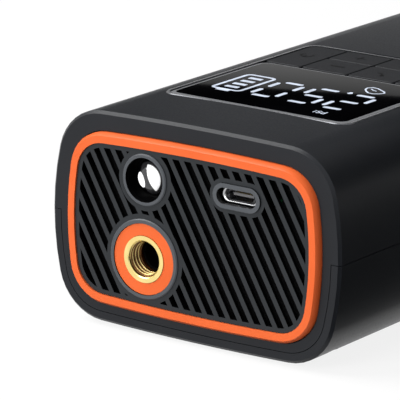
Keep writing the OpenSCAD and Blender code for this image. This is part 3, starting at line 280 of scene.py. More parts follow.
@dataclass(frozen=True)
class Finish:
    """A finish that is made into a material once and given to many pieces."""

    name: str

    def make(self) -> bpy.types.Material:
        """Builds the material, or finds the one already built.

        Returns:
            The material.
        """
        material = bpy.data.materials.get(self.name)
        if material is None:
            material, sheet = material_sheet(self.name)
            sheet.show(self.surface(sheet))
        return material

    def surface(self, sheet: Sheet) -> Socket:
        """Builds the surface on an empty sheet and gives its shader."""
        raise NotImplementedError

    def paint(self, sheet: Sheet, base: Socket) -> Socket:
        """Gives the colour, from the base colour that the grain gives."""
        return base


@dataclass(frozen=True)
class MouldedPlastic(Finish):
    """Plastic with a spark-eroded or polished mould surface."""

    colour: Rgb
    deep: Rgb
    gloss: float
    grain_mm: float
    grain_depth: float
    level: float = 0.5
    spread: Point2 = (-0.04, 0.05)
    cloud: float = 60.0

    def surface(self, sheet: Sheet) -> Socket:
        """Builds the plastic.

        Args:
            sheet: The sheet to build on.

        Returns:
            The shader.
        """
        fine = sheet.noise(1.0 / (self.grain_mm * MM), 2.0)
        base = sheet.blend(sheet.noise(self.cloud, 2.0), self.deep, self.colour)
        return sheet.shader(
            Base_Color=self.paint(sheet, base),
            Roughness=sheet.span(fine, *(self.gloss + s for s in self.spread)),
            Normal=sheet.relief(fine, self.grain_depth),
            Specular_IOR_Level=self.level,
        )


@dataclass(frozen=True)
class RimmedPlastic(MouldedPlastic):
    """Plastic with a painted highlight, a paler colour, on the rims at the very front and painted
    shade, in black, on the walls along the depth.

    rim_highlight_depth says where the rims' painted highlight starts and is full, in millimetres
    behind the ring's face.
    wall_shade_normal says where the walls' painted black shade is last full and where it has ended,
    as the Y part of a face's normal.
    """

    # Colour of the painted highlight on the rims
    rim_highlight: Rgb = (76, 79, 83)
    rim_highlight_depth: Point2 = (0.38, 0.28)
    # Black of the painted shade on the walls
    wall: Rgb = (5, 5, 6)
    wall_shade_normal: Point2 = (-0.2, -0.5)

    def paint(self, sheet: Sheet, base: Socket) -> Socket:
        """Paints a highlight, a paler colour, on the rims and shade, in black, on the walls.

        Args:
            sheet: The sheet to build on.
            base: The base colour.

        Returns:
            The colour.
        """
        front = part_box("accent_ring")[0].y
        depths = (front + d * MM for d in self.rim_highlight_depth)
        # near is the share of the painted highlight on the rims at the front
        near = sheet.reach(sheet.split(sheet.place)["Y"], *depths)
        # ahead is 0 on the walls, which get the painted black shade, and 1 on faces that look ahead
        ahead = sheet.reach(sheet.normal["Y"], *self.wall_shade_normal)
        return sheet.mix(ahead, linear(self.wall), sheet.mix(near, base, linear(self.rim_highlight)))


@dataclass(frozen=True)
class BareMetal(Finish):
    """Metal with a brushed, turned or cast surface."""

    colour: Rgb
    deep: Rgb
    gloss: float
    grain: Grain = Grain.SMOOTH
    grain_depth: float = 0.0
    spread: Point2 = (-0.06, 0.08)
    streak: float = 3500.0
    cloud: float = 150.0

    def surface(self, sheet: Sheet) -> Socket:
        """Builds the metal.

        Args:
            sheet: The sheet to build on.

        Returns:
            The shader.
        """
        streak = sheet.noise(self.streak, 3.0, sheet.stretched(self.grain.value))
        base = sheet.blend(sheet.noise(self.cloud, 2.0), self.deep, self.colour)
        return sheet.shader(
            Metallic=1.0,
            Base_Color=self.paint(sheet, base),
            Roughness=sheet.span(streak, *(self.gloss + s for s in self.spread)),
            Normal=sheet.relief(streak, self.grain_depth),
        )


@dataclass(frozen=True)
class EdgedMetal(BareMetal):
    """Plated metal with a bright flat top and slopes darkened as painted shade.

    top_normal is the Z part of a normal at which the bright top starts and is full.
    """

    # Colour of the painted shade on the slopes
    slope_shade: Rgb = (92, 93, 96)
    top_normal: Point2 = (0.8, 0.98)

    def paint(self, sheet: Sheet, base: Socket) -> Socket:
        """Paints shade on the slopes."""
        flat = sheet.reach(sheet.normal["Z"], *self.top_normal)
        return sheet.mix(flat, linear(self.slope_shade), base)


@dataclass(frozen=True)
class BoredBrass(BareMetal):
    """Brass that is bright on its face and on the thread's crests, with painted shade in the bore.

    In millimetres, lip says at which depth the painted shade starts and is full, and crest_r at
    which radius it starts to grow from crest_shade_share and is full.
    """

    # Colour of the painted shade in the bore
    bore: Rgb = (88, 60, 36)
    crest_r: Point2 = (4.5, 4.62)
    crest_shade_share: float = 0.5
    lip: Point2 = (0.75, 0.95)

    def paint(self, sheet: Sheet, base: Socket) -> Socket:
        """Paints shade into the bore behind its lip, onto the crests by a smaller share.

        Args:
            sheet: The sheet to build on.
            base: The base colour.

        Returns:
            The colour.
        """
        disc, front = middle("outlet_disc"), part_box("outlet_insert")[0].y
        x, y, z = sheet.split(sheet.place)
        across, up = sheet.calc("SUBTRACT", x, disc.x), sheet.calc("SUBTRACT", z, disc.z)
        radius = sheet.calc("SQRT", sheet.squares(across, up))
        # The painted shade grows behind the lip and is less on the crests
        deep = sheet.reach(sheet.calc("SUBTRACT", y, front), *(d * MM for d in self.lip))
        root = sheet.reach(radius, *(r * MM for r in self.crest_r), (self.crest_shade_share, 1.0))
        return sheet.mix(sheet.calc("MULTIPLY", deep, root), base, linear(self.bore))


@dataclass(frozen=True)
class SoftRubber(Finish):
    """Matte rubber with a dusty bloom."""

    colour: Rgb
    deep: Rgb
    gloss: float
    spread: Point2 = (-0.06, 0.08)
    bloom: float = 240.0
    grain: float = 2600.0
    grain_depth: float = 0.03

    def surface(self, sheet: Sheet) -> Socket:
        """Builds the rubber.

        Args:
            sheet: The sheet to build on.

        Returns:
            The shader.
        """
        fine = sheet.noise(self.grain, 3.0)
        return sheet.shader(
            Sheen_Weight=0.15,
            Sheen_Roughness=0.5,
            Specular_IOR_Level=0.35,
            Base_Color=sheet.blend(sheet.noise(self.bloom, 4.0), self.deep, self.colour),
            Roughness=sheet.span(fine, *(self.gloss + s for s in self.spread)),
            Normal=sheet.relief(fine, self.grain_depth),
        )


@dataclass(frozen=True)
class OpenFoam(Finish):
    """Black open-cell foam, here for the sheet of painted shade behind the slats."""

    colour: Rgb = (10, 10, 11)
    pore: Rgb = (2, 2, 2)
    cell_mm: float = 0.7
    wall: Point2 = (0.05, 0.2)
    depth: float = 0.2

    def surface(self, sheet: Sheet) -> Socket:
        """Builds the foam.

        Args:
            sheet: The sheet to build on.

        Returns:
            The shader.
        """
        distance = sheet.cells(1.0 / (self.cell_mm * MM), feature="DISTANCE_TO_EDGE")
        wall = sheet.reach(distance, *self.wall, (NOISE_HIGH, NOISE_LOW))
        return sheet.shader(
            Roughness=0.9,
            Specular_IOR_Level=0.05,
            Base_Color=sheet.blend(wall, self.pore, self.colour),
            Normal=sheet.relief(wall, self.depth),
        )


@dataclass(frozen=True)
class SmokedGlass(Finish):
    """Black printed display glass with a satin edge whose paler colour is a painted highlight."""

    colour: Rgb = (5, 5, 7)
    deep: Rgb = (3, 3, 4)
    # Colour of the painted highlight on the bevelled edge
    edge: Rgb = (118, 119, 122)
    gloss: Point2 = (0.015, 0.025)
    edge_gloss: float = 0.3
    flat_normal: float = 0.9985
    cloud: float = 45.0

    def surface(self, sheet: Sheet) -> Socket:
        """Builds the glass.

        Args:
            sheet: The sheet to build on.

        Returns:
            The shader.
        """
        cloud = sheet.noise(self.cloud, 3.0)
        flat = sheet.calc("GREATER_THAN", sheet.normal["Z"], self.flat_normal)
        ink = sheet.blend(cloud, self.deep, self.colour)
        ends = {"A": self.edge_gloss, "B": sheet.span(cloud, *self.gloss)}
        rough = sheet.add("ShaderNodeMix", {"Factor": flat, **ends}, data_type="FLOAT")
        return sheet.shader(
            Specular_IOR_Level=0.5,
            Base_Color=sheet.mix(flat, linear(self.edge), ink),
            Roughness=rough.outputs["Result"],
        )


@dataclass(frozen=True)
class TorchDome(Finish):
    """Polished torch lens with a painted reflection: a white patch and a white oval highlight,
    which glow a little though the torch is off, in a dim grey band.

    Places are in millimetres from the lens's middle. reflection_patch is the painted white patch
    and band its painted dim surround; both end at an edge across axes that are turned by the angle
    whose cosine and sine are in turn, and the highlight oval is turned with them. band_r and
    band_edge say where the band starts and is full, and highlight_oval_blur the same of the oval,
    as a squared share of its size.
    """

    # White, grey and black of the painted reflection and highlight
    bright: Rgb = (250, 250, 251)
    dim: Rgb = (44, 44, 46)
    black: Rgb = (3, 3, 4)
    reflection_patch_r: float = 3.85
    reflection_patch_edge: float = 1.1
    reflection_patch_blur: float = 0.15
    band_r: Point2 = (4.7, 4.3)
    band_edge: Point2 = (-1.4, -0.6)
    highlight_oval_at: Point2 = (-1.5, -0.3)
    highlight_oval_size: Point2 = (1.25, 2.1)
    highlight_oval_blur: Point2 = (1.15, 0.88)
    turn: Point2 = (0.925, 0.38)
    # Glow of the painted white, though the torch is off
    glow: float = 0.42
    gloss: Point2 = (0.03, 0.06)
    cloud: float = 500.0

    def surface(self, sheet: Sheet) -> Socket:
        """Builds the lens.

        Args:
            sheet: The sheet to build on.

        Returns:
            The shader.
        """
        mid = middle("torch_lens") / MM
        x, _, z = sheet.split(sheet.stretched((1 / MM,) * 3))
        c, t = self.turn
        ahead = sheet.line(x, z, c, t, -c * mid.x - t * mid.z)
        along = sheet.line(x, z, -t, c, t * mid.x - c * mid.z)
        radius = sheet.calc("SQRT", sheet.squares(ahead, along))
        r, edge, blur = self.reflection_patch_r, self.reflection_patch_edge, self.reflection_patch_blur
        # Painted reflection: a white patch
        reflection_patch = sheet.calc(
            "MULTIPLY",
            sheet.reach(radius, r + blur, r - blur, soft=True),
            sheet.reach(ahead, edge - blur, edge + blur, soft=True),
        )
        (at_x, at_z), (wide, high) = self.highlight_oval_at, self.highlight_oval_size
        across = sheet.line(ahead, along, 1 / wide, 0.0, -(c * at_x + t * at_z) / wide)
        up = sheet.line(ahead, along, 0.0, 1 / high, -(-t * at_x + c * at_z) / high)
        # lamp is the painted white oval highlight
        lamp = sheet.reach(sheet.squares(across, up), *self.highlight_oval_blur, soft=True)
        # lit is the share of the painted white reflection and highlight
        lit = sheet.calc("MAXIMUM", reflection_patch, lamp)
        band = sheet.calc(
            "MULTIPLY",
            sheet.reach(radius, *self.band_r, soft=True),
            sheet.reach(ahead, *self.band_edge, soft=True),
        )
        tone = sheet.mix(band, linear(self.black), linear(self.dim))
        return sheet.shader(
            Specular_IOR_Level=0.6,
            Coat_Weight=0.3,
            Coat_Roughness=0.02,
            # The painted white glows a little, though the torch is off
            Emission_Color=(1.0, 1.0, 1.0, 1.0),
            Base_Color=sheet.mix(lit, tone, linear(self.bright)),
            Emission_Strength=sheet.calc("MULTIPLY", lit, self.glow),
            Roughness=sheet.span(sheet.noise(self.cloud, 2.0), *self.gloss),
        )


@dataclass(frozen=True)
class CoatedBoard(Finish):
    """Circuit board: solder resist over a grid of traces."""

    colour: Rgb = (22, 92, 52)
    trace: Rgb = (46, 128, 76)
    cell: float = 260.0
    pitch: float = 0.12
    gap: float = 0.085
    trace_depth: float = 0.03
    gloss: Point2 = (0.28, 0.4)
    cloud: float = 400.0

    def surface(self, sheet: Sheet) -> Socket:
        """Builds the board's coat.

        Args:
            sheet: The sheet to build on.

        Returns:
            The shader.
        """
        distance = sheet.cells(self.cell, distance="MANHATTAN", feature="F2")
        edge = sheet.calc("GREATER_THAN", sheet.calc("PINGPONG", distance, self.pitch), self.gap)
        return sheet.shader(
            Specular_IOR_Level=0.5,
            Base_Color=sheet.blend(edge, self.colour, self.trace),
            Roughness=sheet.span(sheet.noise(self.cloud, 2.0), *self.gloss),
            Normal=sheet.relief(edge, self.trace_depth),
        )


@dataclass(frozen=True)
class FoilPouch(Finish):
    """Aluminium laminate of a flat cell, slightly crinkled."""

    colour: Rgb = (176, 179, 184)
    deep: Rgb = (150, 153, 158)
    gloss: Point2 = (0.3, 0.42)
    crinkle: float = 180.0
    crinkle_depth: float = 0.15
    crinkle_share: float = 0.6

    def surface(self, sheet: Sheet) -> Socket:
        """Builds the foil.

        Args:
            sheet: The sheet to build on.

        Returns:
            The shader.
        """
        crinkle = sheet.noise(self.crinkle, 5.0)
        return sheet.shader(
            Metallic=0.85,
            Base_Color=sheet.blend(crinkle, self.deep, self.colour),
            Roughness=sheet.span(crinkle, *self.gloss),
            Normal=sheet.relief(crinkle, self.crinkle_depth, self.crinkle_share),
        )


@dataclass(frozen=True)
class LitMark(Finish):
    """A lit segment: an even glow with slightly brighter spots over its lamps."""

    colour: Rgb = (226, 236, 255)
    unlit: Rgb = (60, 64, 70)
    fall: float = 0.86
    cloud: float = 420.0

    def surface(self, sheet: Sheet) -> Socket:
        """Builds the glow.

        Args:
            sheet: The sheet to build on.

        Returns:
            The shader.
        """
        low = tuple(c * self.fall for c in self.colour)
        return sheet.shader(
            Roughness=0.2,
            Emission_Strength=1.0,
            Emission_Color=sheet.blend(sheet.noise(self.cloud, 1.0), low, self.colour),
            Base_Color=linear(self.unlit),
        )


# Name, colour, its deeper shade, roughness, grain and its depth in millimetres, specular level
SHELL = MouldedPlastic("shell_plastic_grain", (27, 29, 33), (24, 26, 30), 0.36, 0.45, 0.012, 0.22)
# The grille has a painted highlight on its rims and painted black shade on its walls
GRILLE = RimmedPlastic("grille_plastic_satin", (36, 39, 42), (33, 36, 39), 0.34, 0.3, 0.006, 0.25)
ORANGE = MouldedPlastic(
    "orange_plastic_satin", (229, 104, 52), (223, 98, 46), 0.34, 0.3, 0.005, 0.2)
BLACK = MouldedPlastic("black_plastic_satin", (7, 7, 8), (5, 5, 6), 0.45, 0.3, 0.01, 0.08)
KEY = MouldedPlastic("key_plastic_matte", (26, 27, 30), (24, 25, 28), 0.5, 0.25, 0.008, 0.2)
TONGUE = MouldedPlastic(
    "tongue_plastic_grey", (118, 117, 119), (108, 107, 109), 0.4, 0.2, 0.004, 0.3)
KEY_MARK = MouldedPlastic("key_mark_dark", (6, 6, 7), (4, 4, 5), 0.45, 0.3, 0.004, 0.1)
SWITCH = MouldedPlastic("switch_grey_moulded", (122, 122, 126), (108, 108, 112), 0.4, 0.3, 0.01)
DIFFUSER = MouldedPlastic(
    "display_block_white", (206, 208, 212), (190, 192, 196), 0.4, 0.3, 0.008)
SOCKET_BLUE = MouldedPlastic(
    "socket_plastic_blue", (34, 84, 160), (28, 72, 142), 0.42, 0.35, 0.015)
NYLON = MouldedPlastic("gear_nylon_ivory", (226, 218, 200), (214, 205, 186), 0.42, 0.4, 0.012)
LAMP = MouldedPlastic("lamp_chip_yellow", (240, 220, 120), (228, 200, 92), 0.25, 0.2, 0.004)
# Name, colour, its deeper shade, roughness and, on metal, the run of the grain and its depth
COVER = SoftRubber("cover_rubber_soft", (46, 47, 50), (38, 39, 42), 0.6)
FOOT = SoftRubber("foot_rubber_matte", (38, 38, 40), (28, 28, 30), 0.75)
HOSE = SoftRubber("hose_rubber_smooth", (34, 34, 36), (26, 26, 28), 0.5)
BRASS = BareMetal("brass_turned", (242, 216, 140), (230, 198, 116), 0.3, Grain.TURNED_Y, 0.003)
# Brass with painted shade in the bore
BORED_BRASS = BoredBrass(
    "brass_bored", (247, 226, 154), (238, 212, 134), 0.3, Grain.TURNED_Y, 0.002)
COPPER = BareMetal("copper_strap", (214, 138, 104), (190, 112, 82), 0.28, Grain.BRUSHED_X, 0.01)
STEEL = BareMetal("steel_ground", (186, 187, 190), (160, 161, 165), 0.24, Grain.TURNED_Y, 0.006)
PORT_STEEL = BareMetal(
    "steel_drawn", (176, 176, 180), (150, 150, 154), 0.26, Grain.TURNED_Y, 0.006)
LIP_STEEL = BareMetal("steel_bright", (196, 197, 199), (184, 185, 187), 0.3)
SCREW_STEEL = BareMetal("steel_blackened", (82, 82, 86), (60, 60, 64), 0.34, Grain.SMOOTH, 0.006)
MOTOR_STEEL = BareMetal(
    "steel_zinc", (160, 162, 166), (134, 136, 142), 0.34, Grain.BRUSHED_X, 0.01)
ALLOY = BareMetal("alloy_die_cast", (158, 160, 164), (134, 136, 140), 0.46, Grain.SPARKED, 0.03)
# The trim has painted shade on its slopes
TRIM = EdgedMetal("trim_satin_plated", (232, 233, 236), (224, 225, 228), 0.3)
MIRROR = BareMetal("reflector_polished", (232, 233, 236), (222, 223, 226), 0.08)
# Foam of the black sheet that stands in for the shade behind the slats
SHADE_FOAM = OpenFoam("filter_foam_black")
CAN = BareMetal("capacitor_sleeve", (44, 50, 64), (36, 40, 54), 0.3, Grain.SMOOTH, 0.004)
# Glass with a painted highlight on its edge
GLASS = SmokedGlass("display_glass_smoked")
# Lens with a painted reflection and highlight
LENS = TorchDome("torch_lens_polished")
BOARD = CoatedBoard("circuit_board_resist")
FOIL = FoilPouch("cell_foil_pouch")
LIT = LitMark("display_segment_lit")


# ---- Meshes ----


def add_object(name: str, data: bpy.types.ID) -> bpy.types.Object:
    """Makes an object and links it to the scene.

    Args:
        name: Its name.
        data: Its mesh, lamp or camera data.

    Returns:
        The new object.
    """
    thing = bpy.data.objects.new(name, data)
    bpy.context.scene.collection.objects.link(thing)
    return thing


def mesh_piece(
    name: str, verts: Sequence[Vector], faces: Sequence[Sequence[int]], finish: Finish,
    smooth: bool = False,
) -> bpy.types.Object:
    """Makes an object of a list of points and faces.

    Args:
        name: The piece's name.
        verts: Its points, in metres.
        faces: Its faces, as indices.
        finish: Its finish.
        smooth: Whether the shading is smooth.

    Returns:
        The new object, linked to the scene.
    """
    mesh = bpy.data.meshes.new(name)
    mesh.from_pydata([tuple(v) for v in verts], [], [list(f) for f in faces])
    shape = bmesh.new()
    shape.from_mesh(mesh)
    bmesh.ops.recalc_face_normals(shape, faces=shape.faces[:])
    shape.to_mesh(mesh)
    shape.free()
    for polygon in mesh.polygons:
        polygon.use_smooth = smooth
    mesh.materials.append(finish.make())
    return add_object(name, mesh)


def ride(piece: bpy.types.Object, body: str) -> None:
    """Lets a piece move with a body.

    Args:
        piece: The piece.
        body: The body it rides on.
    """
    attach(piece, body)
    LOG.info("piece %s on %s", piece.name, body)


def arc(centre: Point2, radius: float, start: float, end: float, steps: int) -> list[Point2]:
    """Points along an arc.

    Args:
        centre: Its centre.
        radius: Its radius.
        start: First angle in degrees.
        end: Last angle in degrees.
        steps: Number of steps.

    Returns:
        The points, both ends included.
    """
    angles = [math.radians(start + (end - start) * i / steps) for i in range(steps + 1)]
    return [(centre[0] + radius * math.cos(a), centre[1] + radius * math.sin(a)) for a in angles]


def circle(centre: Point2, radius: float) -> list[Point2]:
    """Outline of a circle in 36 steps."""
    return arc(centre, radius, 0, 350, 35)


def round_box(low: Point2, high: Point2, radius: float, steps: int = 4) -> list[Point2]:
    """Outline of a rectangle with round corners.

    Args:
        low: Its lowest corner.
        high: Its highest corner.
        radius: Corner radius.
        steps: Steps in each corner.

    Returns:
        The outline, anticlockwise.
    """
    left, right = low[0] + radius, high[0] - radius
    near, far = low[1] + radius, high[1] - radius
    corners = (right, far), (left, far), (left, near), (right, near)
    return [p for i, c in enumerate(corners) for p in arc(c, radius, 90 * i, 90 * i + 90, steps)]


def rectangle(low: Point2, high: Point2) -> list[Point2]:
    """Outline of a rectangle."""
    return [low, (high[0], low[1]), high, (low[0], high[1])]


class Marking:
    """Flat marks gathered on one plane and raised into one thin piece."""

    def __init__(
        self, to_space: Callable[[float, float, float], Vector],
        lift: float = 0.0, thick: float = 0.03,
    ) -> None:
        """Starts an empty marking.

        Args:
            to_space: Turns two plane coordinates and a height into a point, in millimetres.
            lift: Height of the marks' underside over the plane, in millimetres.
            thick: Thickness of the marks, in millimetres.
        """
        self.to_space = to_space
        self.low = lift
        self.high = lift + thick
        self.verts: list[Vector] = []
        self.faces: list[list[int]] = []

    def area(self, outline: Sequence[Point2]) -> None:
        """Adds a filled area.

        Args:
            outline: Its corners in order.
        """
        count, base = len(outline), len(self.verts)
        for height in (self.low, self.high):
            self.verts += [self.to_space(x, y, height) * MM for x, y in outline]
        bottom = [base + i for i in range(count)]
        top = [base + count + i for i in range(count)]
        self.faces += [bottom[::-1], top]
        for i in range(count):
            j = (i + 1) % count
            self.faces.append([bottom[i], bottom[j], top[j], top[i]])

    def line(self, path: Sequence[Point2], width: float, closed: bool = False) -> None:
        """Adds a line of even width with mitred bends.

        Args:
            path: Its middle line.
            width: Its width.
            closed: Whether it runs back to its start.
        """
        points = [Vector(p) for p in path]
        count = len(points)
        left, right = [], []
        for i, p in enumerate(points):
            before = points[i - 1] if (i > 0 or closed) else None
            after = points[(i + 1) % count] if (i < count - 1 or closed) else None
            a = (p - before).normalized() if before is not None else (after - p).normalized()
            b = (after - p).normalized() if after is not None else a
            tangent = (a + b).normalized() if (a + b).length > 1e-6 else a
            side = Vector((-tangent.y, tangent.x))
            mitre = width / 2 / max(MITRE_FLOOR, math.sqrt(max(0.0, (1 + a.dot(b)) / 2)))
            left.append(tuple(p + side * mitre))
            right.append(tuple(p - side * mitre))
        for i in range(count if closed else count - 1):
            j = (i + 1) % count
            self.area([left[i], right[i], right[j], left[j]])

    def piece(self, name: str, finish: Finish, body: str, slot: str) -> None:
        """Makes the piece of all marks so far and lets it ride on a body.

        Args:
            name: The piece's name.
            finish: Its finish.
            body: The body it rides on.
            slot: Not used.
        """
        ride(mesh_piece(name, self.verts, self.faces, finish), body)


def soft_shading(limit: float) -> bpy.types.NodeTree:
    """Builds the node group that joins a node's faces and shades its gentle edges smooth.

    Args:
        limit: The steepest edge that is shaded smooth, in degrees.

    Returns:
        The group, made once for each limit.
    """
    name = f"soft_shading_{limit:g}"
    done = bpy.data.node_groups.get(name)
    if done is not None:
        return done
    group = bpy.data.node_groups.new(name, "GeometryNodeTree")
    for way in ("INPUT", "OUTPUT"):
        group.interface.new_socket("Geometry", in_out=way, socket_type="NodeSocketGeometry")
    sheet = Sheet(group, "NodeGroupOutput")
    source = sheet.add("NodeGroupInput").outputs[0]
    weld = sheet.add("GeometryNodeMergeByDistance", {"Geometry": source, "Distance": JOIN_DISTANCE})
    plain = sheet.add(
        "GeometryNodeRemoveAttribute",
        {"Geometry": weld.outputs["Geometry"], "Name": "custom_normal"},
    )
    smooth = sheet.add("GeometryNodeSetShadeSmooth", {"Geometry": plain.outputs["Geometry"]})
    angle = sheet.add("GeometryNodeInputMeshEdgeAngle").outputs["Unsigned Angle"]
    steep = sheet.add(
        "FunctionNodeCompare", {"A": angle, "B": math.radians(limit)}, operation="GREATER_THAN"
    ).outputs["Result"]
    sharp = {"Geometry": smooth.outputs["Geometry"], "Selection": steep, "Shade Smooth": False}
    sheet.show(sheet.add("GeometryNodeSetShadeSmooth", sharp, domain="EDGE").outputs["Geometry"])
    return group


def middle(node: str) -> Vector:
    """Middle of a CAD node's box, in metres."""
    low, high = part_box(node)
    return (low + high) / 2


def box_mm(node: str) -> tuple[Vector, Vector, Vector]:
    """Lowest corner, highest corner and middle of a CAD node's box, in millimetres."""
    low, high = (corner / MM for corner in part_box(node))
    return low, high, (low + high) / 2


# ---- Sub-assemblies ----


@dataclass
class Assembly:
    """CAD nodes that belong together, their finishes and the pieces laid on them.

    limits holds the steepest smooth edge, in degrees, of nodes that differ from the usual.
    """

    nodes: Nodes
    finishes: ClassVar[Mapping[str, Finish]] = {}
    limits: ClassVar[Mapping[str, float]] = {}

    def build(self) -> None:
        """Dresses the nodes with finish and soft shading and adds the pieces."""
        for name, finish in self.finishes.items():
            node = self.nodes[name]
            node.data.materials.clear()
            node.data.materials.append(finish.make())
            shading = node.modifiers.new("soft_shading", "NODES")
            shading.node_group = soft_shading(self.limits.get(name, SMOOTH_LIMIT))
            LOG.info("node %s: %s", name, finish.name)
        self.add_pieces()

    def add_pieces(self) -> None:
        """Adds the pieces that the CAD nodes don't have; here none."""


@dataclass
class Housing(Assembly):
    """Both shells with feet and screws."""

    finishes = {
        "upper_shell": SHELL,
        "lower_shell": SHELL,
        "case_screws": SCREW_STEEL,
        "rubber_feet": FOOT,
    }


@dataclass
class FrontFace(Assembly):
    """Grille and orange ring."""

    finishes = {"grille_plate": GRILLE, "accent_ring": ORANGE}
    limits = {"accent_ring": 50.0}


@dataclass
class ShadeSheet(Assembly):
    """Black foam sheet behind the slats, a dark sheet put there as painted shade that keeps the
    slots black, open for torch, outlet and port.

    Sizes are in millimetres; behind is its place behind the ring's face, and port_drop the height
    left free under the port's board.
    """

    behind: float = 6.65
    thick: float = 0.6
    margin: float = 3.2
    corner: float = 12.0
    torch_gap: float = 0.35
    boss_r: float = 11.35
    port_margin: float = 0.5
    port_drop: float = 1.8
    port_corner: float = 0.3

    def outlines(self) -> list[list[Point2]]:
        """Gives the outline and those of its openings.

        Returns:
            The outlines, in x and z.
        """
        low, high, _ = box_mm("grille_plate")
        edge = round_box(
            (low.x + self.margin, low.z + self.margin),
            (high.x - self.margin, high.z - self.margin), self.corner, 6,
        )
        low, high, _ = box_mm("torch_barrel")
        torch_r = (high.x - low.x) / 2 + self.torch_gap
        torch_hole = circle(((low.x + high.x) / 2, (low.z + high.z) / 2), torch_r)
        low, high, _ = box_mm("outlet_disc")
        outlet_hole = circle(((low.x + high.x) / 2, (low.z + high.z) / 2), self.boss_r)
        board_low, board_high, _ = box_mm("usb_board")
        gap = self.port_margin
        port = round_box(
            (board_low.x - gap, board_low.z - self.port_drop - gap),
            (board_high.x + gap, box_mm("usb_c_shell")[1].z + gap), self.port_corner, 2,
        )
        return [edge, torch_hole, outlet_hole, port]

    def add_pieces(self) -> None:
        """Cuts the sheet of painted shade from a flat sheet."""
        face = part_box("accent_ring")[0].y / MM
        shape = bmesh.new()
        edges = []
        for outline in self.outlines():
            ring = [shape.verts.new(Vector((x, face + self.behind, z)) * MM) for x, z in outline]
            edges += [shape.edges.new((a, b)) for a, b in zip(ring, ring[1:] + ring[:1])]
        bmesh.ops.triangle_fill(shape, use_beauty=True, use_dissolve=False, edges=edges)
        back = bmesh.ops.extrude_face_region(shape, geom=shape.faces[:])["geom"]
        for vert in back:
            if isinstance(vert, bmesh.types.BMVert):
                vert.co.y += self.thick * MM
        shape.verts.index_update()
        verts = [vert.co.copy() for vert in shape.verts]
        # The fill lists its faces in another order each run
        faces = sorted([vert.index for vert in f.verts] for f in shape.faces)
        shape.free()
        ride(mesh_piece("dust_screen", verts, faces, SHADE_FOAM), "case")


@dataclass
class Outlet(Assembly):
    """Brass outlet with its inner thread, orange disc, nut and hose.

    Sizes are in millimetres, but root_half and crest_half are shares of the pitch, and faded is
    the share of its width that the ridge has at both ends.
    """

    bore_r: float = 5.0
    crest_r: float = 4.4
    root_half: float = 0.46
    crest_half: float = 0.09
    sink: float = 0.02
    pitch: float = 1.3
    first_turn: float = 0.75
    turns: float = 3.8
    steps: int = 40
    faded: float = 0.25
    finishes = {
        "outlet_disc": ORANGE,
        "outlet_insert": BORED_BRASS,
        "outlet_seal": BLACK,
        "outlet_nut": BRASS,
        "air_hose": HOSE,
    }

    def add_pieces(self) -> None:
        """Winds the thread's ridge inside the bore; it grows and fades in half a turn."""
        mid, front = box_mm("outlet_disc")[2], box_mm("outlet_insert")[0].y
        root, wide, slim = self.bore_r + self.sink, self.root_half, self.crest_half
        profile = ((root, -wide), (self.crest_r, -slim), (self.crest_r, slim), (root, wide))
        verts: list[Vector] = []
        count, fade = int(self.turns * self.steps), self.steps / 2
        for i in range(count + 1):
            angle = 2 * math.pi * i / self.steps
            depth = front + self.first_turn + self.pitch * i / self.steps
            grow = min(1.0, i / fade, (count - i) / fade)
            for radius, shift in profile:
                r = root - (root - radius) * grow
                y = depth + shift * self.pitch * (self.faded + (1 - self.faded) * grow)
                point = (mid.x + r * math.cos(angle), y, mid.z + r * math.sin(angle))
                verts.append(Vector(point) * MM)
        faces = [
            [4 * i + k, 4 * i + (k + 1) % 4, 4 * i + (k + 1) % 4 + 4, 4 * i + k + 4]
            for i in range(count) for k in range(4)
        ]
        faces += [[0, 1, 2, 3], [4 * count + k for k in (3, 2, 1, 0)]]
        ride(mesh_piece("outlet_thread", verts, faces, BORED_BRASS), "case")


@dataclass
class Torch(Assembly):
    """Torch barrel, lens, reflector and lamp."""

    finishes = {
        "torch_barrel": BLACK,
        "torch_lens": LENS,
        "torch_reflector": MIRROR,
        "torch_led": LAMP,
        "torch_board": BOARD,
    }


